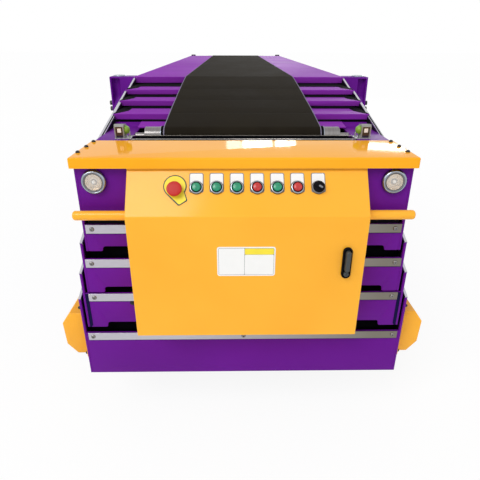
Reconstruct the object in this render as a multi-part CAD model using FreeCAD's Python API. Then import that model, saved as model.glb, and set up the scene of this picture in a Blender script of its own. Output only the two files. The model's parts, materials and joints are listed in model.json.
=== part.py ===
import FreeCAD, Part
import math
import os

# Mobile telescopic belt conveyor.
#
# A base box on two swivel castors and two fixed wheels carries three booms, each one nested
# in the one before it. The booms slide out of the nose end, which looks along -Y. The
# control cabinet with its door hangs on the innermost boom.
#
# Inside this file x is counted from the middle plane, y from the front edge of the lip cover
# towards the tail, and z from the bottom edge of the base. save() then moves every piece to
# the shared frame: origin on the floor, under the middle of the whole machine.

os.makedirs("parts", exist_ok=True)

# ---------------------------------------------------------------- driving dimensions (mm)

# wheels and floor
wheel_radius = 100.0
crown_gap = 11.7
wheel_width = 45.0
castor_trail = 45.0
front_wheel_y = 700.0
rear_wheel_y = 4500.0
wheel_x = 430.0

# nested boxes: the base and three booms
base_half_width = 606.0
nest_step = 19.0
wall = 8.0
front_y = 24.0
base_rear_y = 5285.0
boom_rear_gaps = (0.0, 145.0, 175.0, 205.0)
deck_top = 1013.0
deck_sheet = 6.0
deck_drops = (0.0, 38.0, 28.0, 28.0)
base_beam_y = 1337.0
beam_steps = (0.0, 333.0, 219.0, 213.0)
beam_length = 50.0
bottoms = (0.0, 219.0, 370.0, 536.0)
plate_heights = (192.0, 146.0, 135.0, 100.0)
wall_corner_rises = (341.0, 228.0, 196.0)
notch_heights = (0.0, 22.0, 23.0, 18.5)
notch_side_gaps = (0.0, 76.0, 64.0, 58.0)
notch_radius = 12.0
toe_length = 90.0
toe_angle = 22.0
slant_angle = 13.0
shoulder_y = 400.0
pan_sheet = 5.0
base_pan_height = 60.0
boom_pan_height = 60.0

# running clearances
run_gap = 5.0
seat_gap = 0.3
belt_lap_gap = 2.0

# rollers
support_roller_radius = 30.0
support_roller_y = 90.0
return_roller_radius = 28.0
return_roller_y = 66.0
roller_side_gap = 4.0
shaft_radius = 12.0
pad_length = 300.0
pad_height = 80.0
pad_rear_gap = 20.0

# belt
belt_width = 620.0
belt_thickness = 3.0
belt_lap = 10.0
belt_tip = 1.0
belt_taper = 60.0
tail_pulley_radius = 48.0
tail_pulley_gap = 12.0

# nose of boom 3
lip_half_width = 557.0
lip_depth = 264.0
lip_height = 34.0
lip_sheet = 4.0
lip_drop = 49.0
nose_roller_radius = 35.0
nose_roller_y = 412.0
nose_roller_overhang = 75.0
nose_roller_rise = 23.5
shelf_gap = 45.0
shelf_sheet = 5.0
shelf_flange = 6.0
shelf_length = 286.0
flange_overhang = 70.0
bar_width = 26.0
bar_height = 18.0
bar_ys = (276.0, 340.0)
bar_end_gap = 19.0
bar_pin_radius = 4.0
panel_gap = 24.0
slope_plate_sheet = 5.0

# control cabinet and its door
door_x = 8.5
door_half_width = 385.0
door_face_y = -82.0
door_thickness = 18.0
door_bottom = 256.0
door_fold_drop = 133.0
door_fold_reach = 96.0
door_seat = 0.4
cabinet_sheet = 4.0
cabinet_back_y = 14.0
spacer_place = 0.8
spacer_width = 40.0
spacer_height = 30.0
bump_bar_radius = 16.0
bump_bar_half = 562.0
bump_bar_y = -10.0
bump_bar_drop = 154.0

# mounting plate in the cabinet: sizes are width, height and depth
panel_sheet = 3.0
panel_margin = 50.0
panel_rise = 40.0
panel_height = 330.0
panel_block_margin = 30.0
panel_row_start = 230.0
drive_low = 80.0
drive_size = (160.0, 220.0, 34.0)
relay_count = 7
relay_pitch = 54.0
relay_low = 215.0
relay_size = (45.0, 75.0, 30.0)
module_count = 5
module_pitch = 76.0
module_low = 110.0
module_size = (62.0, 70.0, 26.0)
terminal_low = 20.0
terminal_height = 36.0
terminal_depth = 20.0

# controls on the door
control_pitch = 64.0
button_drop = 67.5
first_button_x = -154.0
button_count = 6
bezel_radius = 21.5
bezel_height = 6.0
lens_radius = 14.0
lens_height = 6.0
legend_width = 45.0
legend_length = 65.0
legend_sheet = 2.0
legend_top = 19.0
stop_x = -221.5
stop_drop = 63.0
stop_backing_radius = 37.0
stop_backing_sheet = 2.5
stop_tail = ((12.5, 65.0), (41.0, 47.0))
stop_tail_angle = 33.0
stop_tail_corner = 6.0
stop_head_shift = 13.5
stop_neck_radius = 15.0
stop_neck_height = 10.0
stop_head_radius = 24.0
stop_head_height = 12.0
selector_x = 232.5
selector_radius = 19.0
selector_height = 12.0
sign_x = 4.0
sign_width = 190.0
sign_height = 106.0
sign_bottom = 495.0
sign_sheet = 2.0
lock_x = 333.0
lock_width = 30.0
lock_length = 110.0
lock_bottom = 488.0
lock_depth = 30.0

# lamps and photo sensors
lamp_x = 488.0
lamp_drop = 49.0
lamp_radius = 41.5
lamp_depth = 16.0
lamp_glass_radius = 27.5
lamp_recess = 5.0
sensor_x = 446.0
sensor_width = 58.0
sensor_body_gap = 3.0
sensor_foot_sheet = 4.0
sensor_front_lean = 6.0
sensor_roof_fall = 8.0
sensor_back_fall = 6.0
sensor_depth = 50.0
sensor_height = 54.0
sensor_y = 284.0

# side guards and corner columns of the base
guard_front_y = 80.0
guard_length = 520.0
guard_reach = 101.0
guard_shoulder = 68.0
guard_bottom = 53.0
guard_top = 242.0
guard_bevel = 46.0
guard_foot_inset = 8.0
guard_face_lean = 4.0
column_inner = 651.0
column_width = 97.0
column_depth = 110.0
column_bottom = 60.0
pocket_width = 46.0
pocket_outer_gap = 11.0
pocket_depth = 30.0
pocket_top_drop = 10.0
pocket_back_drop = 112.0
pocket_bottom_drop = 157.0
cap_radius = 35.0
cap_height = 6.0
column_bolt_radius = 14.0
column_bolt_reach = 25.0
column_bolt_drops = (150.0, 183.0)
gusset = 12.0
gusset_height = 90.0
bracket_rise = 40.0
bracket_height = 60.0
leg_size = 60.0
leg_clearance = 2.0
leg_foot = 90.0
leg_foot_sheet = 12.0
leg_lift = 100.0
leg_top_gap = 130.0
leg_wear_strip = 1.7
wear_strip_length = 200.0
wear_strip_margin = 10.0

# chassis and rear end
rail_width = 60.0
rail_inner_x = 400.0
chassis_front_y = 120.0
cross_member = 160.0
castor_plate = 8.0
castor_plate_size = 150.0
race_radius = 42.0
race_height = 12.0
crown_height = 8.0
fork_leg = 6.0
fork_leg_width = 46.0
axle_radius = 12.0
castor_axle_overhang = 4.0
rear_axle_collar = 6.0
rear_axle_size = 60.0
hanger = 12.0
rear_plate_top_drop = 118.0
flange_hole_radius = 9.0
flange_spacing_x = 900.0
flange_spacing_z = 160.0
flange_centre_z = 560.0
lug_reach = 60.0
lug_thickness = 20.0
lug_width = 90.0
lug_hole_radius = 13.0
lug_z = 30.0
bearing_size = 60.0
bearing_height = 20.0

# ---------------------------------------------------------------- values worked out

V = FreeCAD.Vector
ALONG_X = V(1, 0, 0)
ALONG_Y = V(0, 1, 0)
ALONG_Z = V(0, 0, 1)

castor_build = castor_plate + seat_gap + race_height + crown_height + crown_gap
ground_clearance = 2 * wheel_radius + castor_build
front_most_y = door_face_y - lock_depth
rear_most_y = base_rear_y + lug_reach
shift_y = -(front_most_y + rear_most_y) / 2
frame_shift = V(0, shift_y, ground_clearance)


class Stage:
    """One nested box: the base is stage 0 and the booms are stages 1 to 3."""

    def __init__(self, number):
        self.number = number
        self.name = "base" if number == 0 else "boom_%d" % number
        self.half = base_half_width - number * nest_step
        self.inner = self.half - wall
        self.bottom = bottoms[number]
        self.level = deck_top - sum(deck_drops[: number + 1])
        self.top = self.level - deck_sheet
        self.beam_y = base_beam_y - sum(beam_steps[: number + 1])
        self.rear = base_rear_y - boom_rear_gaps[number]
        self.plate_top = self.bottom + plate_heights[number]


STAGES = [Stage(number) for number in range(4)]
BASE, BOOM_1, BOOM_2, BOOM_3 = STAGES

lip_top = BOOM_3.level - lip_drop
lip_bottom = lip_top - lip_height
nose_roller_half = belt_width / 2 + nose_roller_overhang
shelf_x = nose_roller_half + shelf_gap
nose_roller_z = lip_top + nose_roller_rise - nose_roller_radius
door_fold_z = lip_bottom - door_fold_drop
door_lean = math.atan2(door_fold_reach, door_fold_drop)
door_down = V(0, -math.sin(door_lean), -math.cos(door_lean))
door_out = V(0, -math.cos(door_lean), math.sin(door_lean))
door_slope_top = V(0, door_face_y + door_fold_reach, lip_bottom)
cabinet_front_y = door_face_y + door_thickness + door_seat


# ---------------------------------------------------------------- shape helpers

def block(x0, x1, y0, y1, z0, z1):
    """A box between two corners."""
    return Part.makeBox(x1 - x0, y1 - y0, z1 - z0, V(x0, y0, z0))


def prism_x(points, x0, x1):
    """A prism along X whose outline is a list of (y, z) points."""
    corners = [V(x0, y, z) for y, z in points]
    face = Part.Face(Part.makePolygon(corners + corners[:1]))
    return face.extrude(V(x1 - x0, 0, 0))


def prism_y(points, y0, y1):
    """A prism along Y whose outline is a list of (x, z) points."""
    corners = [V(x, y0, z) for x, z in points]
    face = Part.Face(Part.makePolygon(corners + corners[:1]))
    return face.extrude(V(0, y1 - y0, 0))


def rod(start, direction, radius, length):
    """A round bar from a start point along a direction."""
    return Part.makeCylinder(radius, length, start, direction)


def rod_x(half, y, z, radius):
    """A round bar along X, centred on the middle plane."""
    return rod(V(-half, y, z), ALONG_X, radius, 2 * half)


def mirrored(shape):
    """The same piece on the other side of the middle plane."""
    return shape.mirror(V(0, 0, 0), ALONG_X)


def joined(*shapes):
    """Several touching shapes as one solid."""
    whole = shapes[0].fuse(list(shapes[1:]))
    return whole.removeSplitter()


def group(*shapes):
    """Separate solids that share a node."""
    return Part.makeCompound(list(shapes))


def both_sides(shape):
    """A piece and its mirror image, as two solids of one node."""
    return group(shape, mirrored(shape))


def save(name, shape):
    """Move a piece to the shared frame and write it."""
    placed = shape.copy()
    placed.translate(frame_shift)
    placed.exportStep("parts/%s.step" % name)


def fillet_along(shape, direction, radius, test):
    """Round the straight edges that run along a direction and pass a test of their middle."""
    chosen = []
    for edge in shape.Edges:
        if edge.Curve.TypeId != "Part::GeomLine":
            continue
        if abs(edge.tangentAt(edge.FirstParameter).dot(direction)) < 0.999:
            continue
        if test(edge.CenterOfMass):
            chosen.append(edge)
    return shape.makeFillet(radius, chosen)


# ---------------------------------------------------------------- the four nested boxes

def wall_outline(stage):
    """Side view of a wall: a short toe low at the front, then a steep stretch up to the
    shoulder and a gentle slant up to the front beam of the deck."""
    if stage is BOOM_3:
        cover_z = lip_top - lip_sheet
        run = (stage.top - cover_z) / math.tan(math.radians(slant_angle))
        return [
            (front_y, stage.bottom),
            (front_y, cover_z),
            (stage.beam_y - run, cover_z),
            (stage.beam_y, stage.top),
            (stage.rear, stage.top),
            (stage.rear, stage.bottom),
        ]
    corner_z = stage.bottom + wall_corner_rises[stage.number]
    toe_rise = toe_length * math.tan(math.radians(toe_angle))
    slant_drop = (stage.beam_y - shoulder_y) * math.tan(math.radians(slant_angle))
    return [
        (front_y, stage.bottom),
        (front_y, corner_z),
        (front_y + toe_length, corner_z + toe_rise),
        (shoulder_y, stage.top - slant_drop),
        (stage.beam_y, stage.top),
        (stage.rear, stage.top),
        (stage.rear, stage.bottom),
    ]


def side_wall(stage):
    """The right-hand wall of a stage."""
    return prism_x(wall_outline(stage), stage.inner, stage.half)


def beam_depth(stage):
    """How deep the front beam may be above the boom that passes under it."""
    if stage is BOOM_3:
        return deck_drops[3] - run_gap
    return deck_drops[stage.number + 1] - run_gap


def deck(stage):
    """Deck sheet with the cross beam under its front edge. The beam is relieved in the
    middle where the belt of the next boom passes."""
    rear = stage.rear
    if stage is BASE:
        rear = tail_pulley_y() - tail_pulley_radius - tail_pulley_gap
    sheet = block(-stage.half, stage.half, stage.beam_y, rear, stage.top, stage.level)
    low = stage.level - beam_depth(stage)
    beam = block(-stage.inner, stage.inner, stage.beam_y, stage.beam_y + beam_length, low, stage.top)
    whole = joined(sheet, beam)
    relief_half = belt_width / 2 + run_gap
    relief = block(-relief_half, relief_half, stage.beam_y - 1, stage.beam_y + beam_length + 1,
                   low - 1, low + belt_thickness)
    whole = whole.cut(relief)
    if stage is BOOM_3:
        whole = joined(whole, nose_slope_plate(low))
    return whole


def nose_slope_plate(beam_low):
    """Sloping plate between the front beam of boom 3 and the nose roller."""
    low_y = nose_roller_y + nose_roller_radius + run_gap * 2
    low_z = nose_roller_z + nose_roller_radius * 0.6
    high_y = BOOM_3.beam_y + shelf_flange
    outline = [
        (low_y, low_z),
        (high_y, beam_low - slope_plate_sheet),
        (high_y, beam_low),
        (BOOM_3.beam_y, beam_low),
        (low_y, low_z + slope_plate_sheet),
    ]
    half = shelf_x - shelf_flange
    return prism_x(outline, -half, half)


def front_plate(stage):
    """Front plate of a stage between its walls. The booms' plates are cut away at the
    bottom middle, which leaves a foot at each corner."""
    plate = block(-stage.inner, stage.inner, front_y, front_y + wall, stage.bottom, stage.plate_top)
    if stage is BASE:
        return plate
    half = stage.half - notch_side_gaps[stage.number]
    height = notch_heights[stage.number]
    cutter = block(-half, half, front_y - 1, front_y + wall + 1,
                   stage.bottom - 3 * notch_radius, stage.bottom + height)
    cutter = fillet_along(cutter, ALONG_Y, notch_radius, lambda p: p.z > stage.bottom)
    plate = plate.cut(cutter)
    return fillet_along(plate, ALONG_Y, notch_radius / 2, lambda p: p.z < stage.bottom + 1)


def pan_bottom(stage):
    """Underside of the floor pan."""
    if stage is BASE:
        return stage.bottom + base_pan_height
    return stage.bottom + boom_pan_height


def floor_pan(stage):
    """Floor sheet between the walls, behind the front plate."""
    z = pan_bottom(stage)
    rear = stage.rear
    if stage is BASE:
        rear = stage.rear - wall
    return block(-stage.inner, stage.inner, front_y + wall, rear, z, z + pan_sheet)


def roller_between_walls(stage, y, z, radius):
    """A roller with its shaft ends against the two walls."""
    body = rod_x(stage.inner - roller_side_gap, y, z, radius)
    return joined(body, rod_x(stage.inner, y, z, shaft_radius))


def support_roller(stage):
    """Roller at the front of a stage that carries the bottom edges of the next boom."""
    following = STAGES[stage.number + 1]
    z = following.bottom - seat_gap - support_roller_radius
    return roller_between_walls(stage, support_roller_y, z, support_roller_radius)


def return_roller(stage):
    """Roller low at the front of a boom, over which the belt comes back."""
    z = stage.bottom + return_roller_radius + 1
    return roller_between_walls(stage, return_roller_y, z, return_roller_radius)


def slide_pads(stage):
    """Slide pads on the outer faces of a boom's walls, at its rear end."""
    reach = stage.half + nest_step - wall - seat_gap
    rear = stage.rear - pad_rear_gap
    low_z = stage.bottom + boom_pan_height
    high_z = stage.top - boom_pan_height - pad_height
    pads = []
    for z in (low_z, high_z):
        pad = block(stage.half, reach, rear - pad_length, rear, z, z + pad_height)
        pads += [pad, mirrored(pad)]
    return pads


def running_gear(stage):
    """Rollers and slide pads of a boom."""
    pieces = [return_roller(stage)] + slide_pads(stage)
    if stage is not BOOM_3:
        pieces.append(support_roller(stage))
    return group(*pieces)


# ---------------------------------------------------------------- belt

def tail_pulley_y():
    """The tail pulley stands a little inside the rear plate."""
    return base_rear_y - wall - tail_pulley_gap - tail_pulley_radius - belt_thickness


def tail_pulley_z():
    """The belt leaves the tail pulley level with the deck."""
    return BASE.level - tail_pulley_radius - seat_gap


def belt_ramp(stage):
    """The short ramp from a stage's front beam down to the belt of the next boom. Its tip
    is thinned, so that the belt looks whole when the booms are in."""
    following = STAGES[stage.number + 1]
    tip_y = following.beam_y + belt_lap
    tip_z = following.level + belt_thickness + belt_lap_gap
    slope = (stage.level - tip_z) / (stage.beam_y - tip_y)
    taper_z = tip_z + slope * belt_taper + belt_thickness
    outline = [
        (stage.beam_y, stage.level),
        (tip_y, tip_z),
        (tip_y, tip_z + belt_tip),
        (tip_y + belt_taper, taper_z),
        (stage.beam_y, stage.level + belt_thickness),
    ]
    return prism_x(outline, -belt_width / 2, belt_width / 2)


def belt_run(stage, rear):
    """The flat run of belt on a stage's deck."""
    half = belt_width / 2
    return block(-half, half, stage.beam_y, rear, stage.level, stage.level + belt_thickness)


def wrap(y, z, radius, front_side):
    """Half a turn of belt around a roller."""
    half = belt_width / 2
    inner = radius + seat_gap
    outer = inner + belt_thickness
    ring = rod_x(half, y, z, outer).cut(rod_x(half + 1, y, z, inner))
    if front_side:
        keep = block(-half, half, y - outer - 1, y, z - outer - 1, z + outer + 1)
    else:
        keep = block(-half, half, y, y + outer + 1, z - outer - 1, z + outer + 1)
    return ring.common(keep)


def base_belt():
    """Belt of the base: ramp, flat run and the turn around the tail pulley."""
    y = tail_pulley_y()
    z = tail_pulley_z()
    low = z - tail_pulley_radius - seat_gap
    half = belt_width / 2
    end = block(-half, half, y - tail_pulley_radius, y, low - belt_thickness, low)
    return joined(belt_run(BASE, y), belt_ramp(BASE), wrap(y, z, tail_pulley_radius, False), end)


def nose_belt():
    """Belt of boom 3: flat run, ramp to the nose roller, the turn around it and the start
    of the way back."""
    half = belt_width / 2
    outer = nose_roller_radius + seat_gap + belt_thickness
    top = nose_roller_z + outer
    ramp = prism_x([
        (BOOM_3.beam_y, BOOM_3.level),
        (nose_roller_y, top - belt_thickness),
        (nose_roller_y, top),
        (BOOM_3.beam_y, BOOM_3.level + belt_thickness),
    ], -half, half)
    low = nose_roller_z - outer
    back = block(-half, half, nose_roller_y, BOOM_3.beam_y, low, low + belt_thickness)
    turn = wrap(nose_roller_y, nose_roller_z, nose_roller_radius, True)
    return joined(belt_run(BOOM_3, BOOM_3.rear), ramp, turn, back)


def boom_belt(stage):
    """Belt of boom 1 or boom 2."""
    return joined(belt_run(stage, stage.rear), belt_ramp(stage))


# ---------------------------------------------------------------- nose of boom 3

def nose_front_plates():
    """Plate with feet at the bottom of boom 3, and the lamp panel above it."""
    z0 = BOOM_3.plate_top + panel_gap
    panel = block(-BOOM_3.inner, BOOM_3.inner, front_y, front_y + wall, z0, lip_bottom)
    return group(front_plate(BOOM_3), panel)


def lip_cover():
    """Folded cover over the front edge of boom 3."""
    outside = block(-lip_half_width, lip_half_width, 0, lip_depth, lip_bottom, lip_top)
    half = lip_half_width - lip_sheet
    inside = block(-half, half, lip_sheet, lip_depth + 1, lip_bottom - 1, lip_top - lip_sheet)
    return outside.cut(inside)


def nose_roller():
    """Nose roller on its shaft."""
    body = rod_x(nose_roller_half, nose_roller_y, nose_roller_z, nose_roller_radius)
    shaft = rod_x(shelf_x - shelf_flange, nose_roller_y, nose_roller_z, shaft_radius)
    return joined(body, shaft)


def transfer_bars():
    """Two flat bars that bridge the gap between the lip cover and the nose roller, each on
    a pin that ends on the flanges of the shelves."""
    bars = []
    reach = shelf_x - shelf_flange
    half = reach - bar_end_gap
    for y in bar_ys:
        bar = block(-half, half, y, y + bar_width, lip_top - bar_height, lip_top)
        pin = rod_x(reach, y + bar_width / 2, lip_top - bar_height / 2, bar_pin_radius)
        bars.append(joined(bar, pin))
    return group(*bars)


def side_shelf():
    """Shelf beside the nose roller, with the flange that holds the roller's shaft."""
    y0 = lip_depth
    y1 = lip_depth + shelf_length
    inner = shelf_x - shelf_flange
    shelf = block(inner, BOOM_3.inner, y0, y1, lip_top - shelf_sheet, lip_top)
    low = nose_roller_z - nose_roller_radius
    flange = block(inner, shelf_x, y0, nose_roller_y + flange_overhang, low, lip_top - shelf_sheet)
    return joined(shelf, flange)


def photo_sensor():
    """Photo sensor on its foot plate, standing on a side shelf."""
    half = sensor_width / 2
    back_y = sensor_y + sensor_depth
    seat = lip_top + sensor_foot_sheet
    roof = lip_top + sensor_height
    foot = block(sensor_x - half, sensor_x + half, sensor_y, back_y, lip_top, seat)
    body_back_y = back_y - sensor_foot_sheet
    body = prism_x([
        (sensor_y + sensor_front_lean, seat),
        (sensor_y, roof - sensor_roof_fall),
        (sensor_y + sensor_roof_fall, roof),
        (body_back_y, roof - sensor_back_fall),
        (body_back_y, seat),
    ], sensor_x - half + sensor_body_gap, sensor_x + half - sensor_body_gap)
    return joined(foot, body)


def headlamp():
    """Round headlamp: a ring with a shallow recess and the domed glass in it."""
    z = lip_bottom - lamp_drop
    start = V(lamp_x, front_y, z)
    ring = rod(start, -ALONG_Y, lamp_radius, lamp_depth)
    rim = [e for e in ring.Edges if e.CenterOfMass.y < front_y - lamp_depth + 0.1 and e.Closed]
    ring = ring.makeFillet(lamp_depth / 4, rim)
    recess_y = front_y - lamp_depth
    recess = rod(V(lamp_x, recess_y - 1, z), ALONG_Y, lamp_glass_radius, lamp_recess + 1)
    ring = ring.cut(recess)
    dome_radius = lamp_glass_radius * 2
    dome_centre = V(lamp_x, recess_y + dome_radius - 1, z)
    dome = Part.makeSphere(dome_radius, dome_centre)
    barrel = rod(V(lamp_x, recess_y - 1, z), ALONG_Y, lamp_glass_radius, lamp_recess + 1.5)
    return joined(ring, dome.common(barrel))


def bump_bar():
    """Round bar with rounded ends, through both sides of the cabinet."""
    z = lip_bottom - bump_bar_drop
    bar = rod_x(bump_bar_half, bump_bar_y, z, bump_bar_radius)
    ends = [edge for edge in bar.Edges if edge.Closed and edge.Curve.TypeId == "Part::GeomCircle"]
    return bar.makeFillet(bump_bar_radius * 0.6, ends)


# ---------------------------------------------------------------- cabinet and door

def on_door(shape):
    """Move a piece built about the middle plane to the cabinet's own middle."""
    moved = shape.copy()
    moved.translate(V(door_x, 0, 0))
    return moved


def door_limit_y():
    """The door ends just in front of the cabinet's back sheet."""
    return cabinet_back_y - cabinet_sheet - door_seat


def slope_height(y, inset):
    """Height of the door's slope at a given y, for a face that lies inset behind it."""
    behind = y - door_face_y - inset / math.cos(door_lean)
    return door_fold_z + behind / math.tan(door_lean)


def inner_fold_z(inset):
    """Height where the slope meets the upright part, for a face that lies inset behind."""
    return slope_height(door_face_y + inset, inset)


def door_outline():
    """Side view of the door: upright below, leaning back above the fold."""
    limit = door_limit_y()
    return [
        (door_face_y, door_bottom),
        (door_face_y, door_fold_z),
        (limit, slope_height(limit, 0)),
        (limit, slope_height(limit, door_thickness)),
        (door_face_y + door_thickness, inner_fold_z(door_thickness)),
        (door_face_y + door_thickness, door_bottom),
    ]


def cabinet_door():
    """The door leaf."""
    return on_door(prism_x(door_outline(), -door_half_width, door_half_width))


def cabinet_box():
    """Back, sides and floor of the cabinet. Its back sheet reaches up to the lip cover and
    two spacers hold it on the plate of boom 3. The bump bar passes through its sides."""
    inset = door_thickness + door_seat
    back_front = cabinet_back_y - cabinet_sheet
    back = block(-door_half_width, door_half_width, back_front, cabinet_back_y,
                 door_bottom, lip_top - lip_sheet)
    side_outline = [
        (back_front, door_bottom),
        (cabinet_front_y, door_bottom),
        (cabinet_front_y, inner_fold_z(inset)),
        (back_front, slope_height(back_front, inset)),
    ]
    side = prism_x(side_outline, door_half_width - cabinet_sheet, door_half_width)
    floor = block(-door_half_width, door_half_width, cabinet_front_y, back_front,
                  door_bottom, door_bottom + cabinet_sheet)
    spacer_x = door_half_width * spacer_place
    spacer_z = BOOM_3.plate_top - plate_heights[3] / 2
    spacer = block(spacer_x, spacer_x + spacer_width, cabinet_back_y, front_y,
                   spacer_z, spacer_z + spacer_height)
    box = joined(back, side, mirrored(side), floor, spacer, mirrored(spacer))
    hole = rod_x(bump_bar_half, bump_bar_y, lip_bottom - bump_bar_drop, bump_bar_radius + seat_gap)
    return on_door(box).cut(hole)


def panel_block(x, low, size, face):
    """A plain device on the mounting plate, from its left edge, its foot and its size."""
    width, height, depth = size
    return block(x, x + width, face - depth, face, low, low + height)


def electrical_panel():
    """Mounting plate with plain blocks for the drive, the relays and the terminals."""
    back = cabinet_back_y - cabinet_sheet
    face = back - panel_sheet
    foot = door_bottom + panel_rise
    half = door_half_width - panel_margin
    left = -half + panel_block_margin
    row_left = -half + panel_row_start
    pieces = [block(-half, half, face, back, foot, foot + panel_height)]
    pieces.append(panel_block(left, foot + drive_low, drive_size, face))
    for number in range(relay_count):
        pieces.append(panel_block(row_left + number * relay_pitch, foot + relay_low, relay_size, face))
    for number in range(module_count):
        pieces.append(panel_block(row_left + number * module_pitch, foot + module_low, module_size, face))
    terminal_size = (2 * (half - panel_block_margin), terminal_height, terminal_depth)
    pieces.append(panel_block(left, foot + terminal_low, terminal_size, face))
    return on_door(joined(*pieces))


def on_slope(x, drop):
    """A point on the door's slope, at x and a way down from its upper edge."""
    return V(x, 0, 0) + door_slope_top + door_down * drop


def slope_plate(outline, thickness):
    """A plate on the slope whose outline is a list of (x, drop) points."""
    corners = [on_slope(x, drop) for x, drop in outline]
    face = Part.Face(Part.makePolygon(corners + corners[:1]))
    return face.extrude(door_out * thickness)


def legend_plate(x):
    """Rounded plate behind a control, most of it above the control."""
    half = legend_width / 2
    low = legend_top + legend_length
    outline = [(x - half, legend_top), (x + half, legend_top), (x + half, low), (x - half, low)]
    plate = slope_plate(outline, legend_sheet)
    return fillet_along(plate, door_out, half * 0.3, lambda p: True)


def push_buttons():
    """Illuminated buttons, each with its legend plate, bezel and lens."""
    buttons = []
    for number in range(button_count):
        x = first_button_x + number * control_pitch
        centre = on_slope(x, button_drop)
        bezel = rod(centre, door_out, bezel_radius, legend_sheet + bezel_height)
        lens = rod(centre, door_out, lens_radius, legend_sheet + bezel_height + lens_height)
        buttons.append(joined(legend_plate(x), bezel, lens))
    return group(*buttons)


def selector_switch():
    """Rotary selector with its legend plate."""
    centre = on_slope(selector_x, button_drop)
    collar = rod(centre, door_out, bezel_radius, legend_sheet + bezel_height)
    knob = rod(centre, door_out, selector_radius, legend_sheet + bezel_height + selector_height)
    return joined(legend_plate(selector_x), collar, knob)


def emergency_stop():
    """Mushroom head on its neck, in front of a drop-shaped backing plate."""
    centre = on_slope(stop_x, stop_drop)
    disc = rod(centre, door_out, stop_backing_radius, stop_backing_sheet)
    low, high = stop_tail
    swing = math.acos(stop_backing_radius / math.hypot(*low))
    tangent = math.atan2(low[1], low[0]) + swing
    root = math.radians(stop_tail_angle)
    outline = [(0, 0), (stop_backing_radius * math.cos(tangent), stop_backing_radius * math.sin(tangent)),
               low, high, (stop_backing_radius * math.cos(root), stop_backing_radius * math.sin(root))]
    tail = slope_plate([(stop_x + x, stop_drop + drop) for x, drop in outline], stop_backing_sheet)
    tail = fillet_along(tail, door_out, stop_tail_corner,
                        lambda p: (p - centre).Length > stop_backing_radius * 1.4)
    middle = on_slope(stop_x, stop_drop + stop_head_shift)
    neck = rod(middle, door_out, stop_neck_radius, stop_backing_sheet + stop_neck_height)
    seat = middle + door_out * (stop_backing_sheet + stop_neck_height)
    head = rod(seat, door_out, stop_head_radius, stop_head_height)
    top = seat + door_out * stop_head_height
    rim = [e for e in head.Edges if e.Closed and (e.CenterOfMass - top).Length < 0.5]
    head = head.makeFillet(stop_head_height * 0.35, rim)
    return joined(disc, tail, neck, head)


def sign_plate():
    """Blank plate on the upright part of the door."""
    half = sign_width / 2
    plate = block(sign_x - half, sign_x + half, door_face_y - sign_sheet, door_face_y,
                  sign_bottom, sign_bottom + sign_height)
    return fillet_along(plate, ALONG_Y, sign_height * 0.08, lambda p: True)


def lock_handle():
    """Swing-handle lock: a dish with the handle standing in front of it."""
    half = lock_width / 2
    dish = block(lock_x - half, lock_x + half, door_face_y - lock_depth * 0.4, door_face_y,
                 lock_bottom, lock_bottom + lock_length)
    dish = fillet_along(dish, ALONG_Y, half * 0.6, lambda p: True)
    grip = block(lock_x - half * 0.6, lock_x + half * 0.6,
                 door_face_y - lock_depth, door_face_y - lock_depth * 0.4 + 1,
                 lock_bottom + half, lock_bottom + lock_length - half)
    grip = fillet_along(grip, ALONG_Z, half * 0.3, lambda p: p.y < door_face_y - lock_depth * 0.9)
    return joined(dish, grip)


# ---------------------------------------------------------------- base: guards, columns, tail

def side_guard():
    """Bevelled guard low on the side of the base."""
    x0 = BASE.half
    outline = [
        (x0, guard_bottom),
        (x0 + guard_shoulder - guard_foot_inset, guard_bottom),
        (x0 + guard_reach - guard_face_lean, guard_bottom + guard_bevel),
        (x0 + guard_reach, guard_top - guard_bevel),
        (x0 + guard_shoulder, guard_top),
        (x0, guard_top),
    ]
    return prism_y(outline, guard_front_y, guard_front_y + guard_length)


def column_centre():
    """Middle of a corner column, as (x, y)."""
    return column_inner + column_width / 2, base_beam_y + column_depth / 2


def corner_column():
    """Upright post beside the base. It houses a jack leg, has a pocket with a sloping floor in
    its upper front and a cap on top, and is held to the base by gussets and brackets."""
    x, y = column_centre()
    outer = column_inner + column_width
    top = BASE.level
    post = block(column_inner, outer, base_beam_y, base_beam_y + column_depth, column_bottom, top)
    pocket_back_y = base_beam_y + pocket_depth
    pocket_right = outer - pocket_outer_gap
    pocket = prism_x([
        (base_beam_y, top - pocket_top_drop),
        (pocket_back_y, top - pocket_top_drop),
        (pocket_back_y, top - pocket_back_drop),
        (base_beam_y, top - pocket_bottom_drop),
    ], pocket_right - pocket_width, pocket_right)
    post = post.cut(pocket)
    bore = leg_size / 2 + leg_clearance
    post = post.cut(block(x - bore, x + bore, y - bore, y + bore, column_bottom - 1, top - leg_top_gap))
    cap = rod(V(x, y, top), ALONG_Z, cap_radius, cap_height)
    pieces = [post, cap]
    pieces.append(block(BASE.half, column_inner, base_beam_y, base_beam_y + gusset,
                        top - gusset_height, top))
    pieces.append(block(BASE.half, column_inner, base_beam_y + gusset, base_beam_y + column_depth,
                        top - gusset, top))
    for z in (column_bottom + bracket_rise, (column_bottom + top) / 2):
        pieces.append(block(BASE.half, column_inner, base_beam_y + gusset,
                            base_beam_y + column_depth - gusset, z, z + bracket_height))
    for drop in column_bolt_drops:
        start = V(outer, base_beam_y + column_depth / 2, top - drop)
        pieces.append(rod(start, ALONG_X, column_bolt_radius, column_bolt_reach))
    return joined(*pieces)


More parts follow.
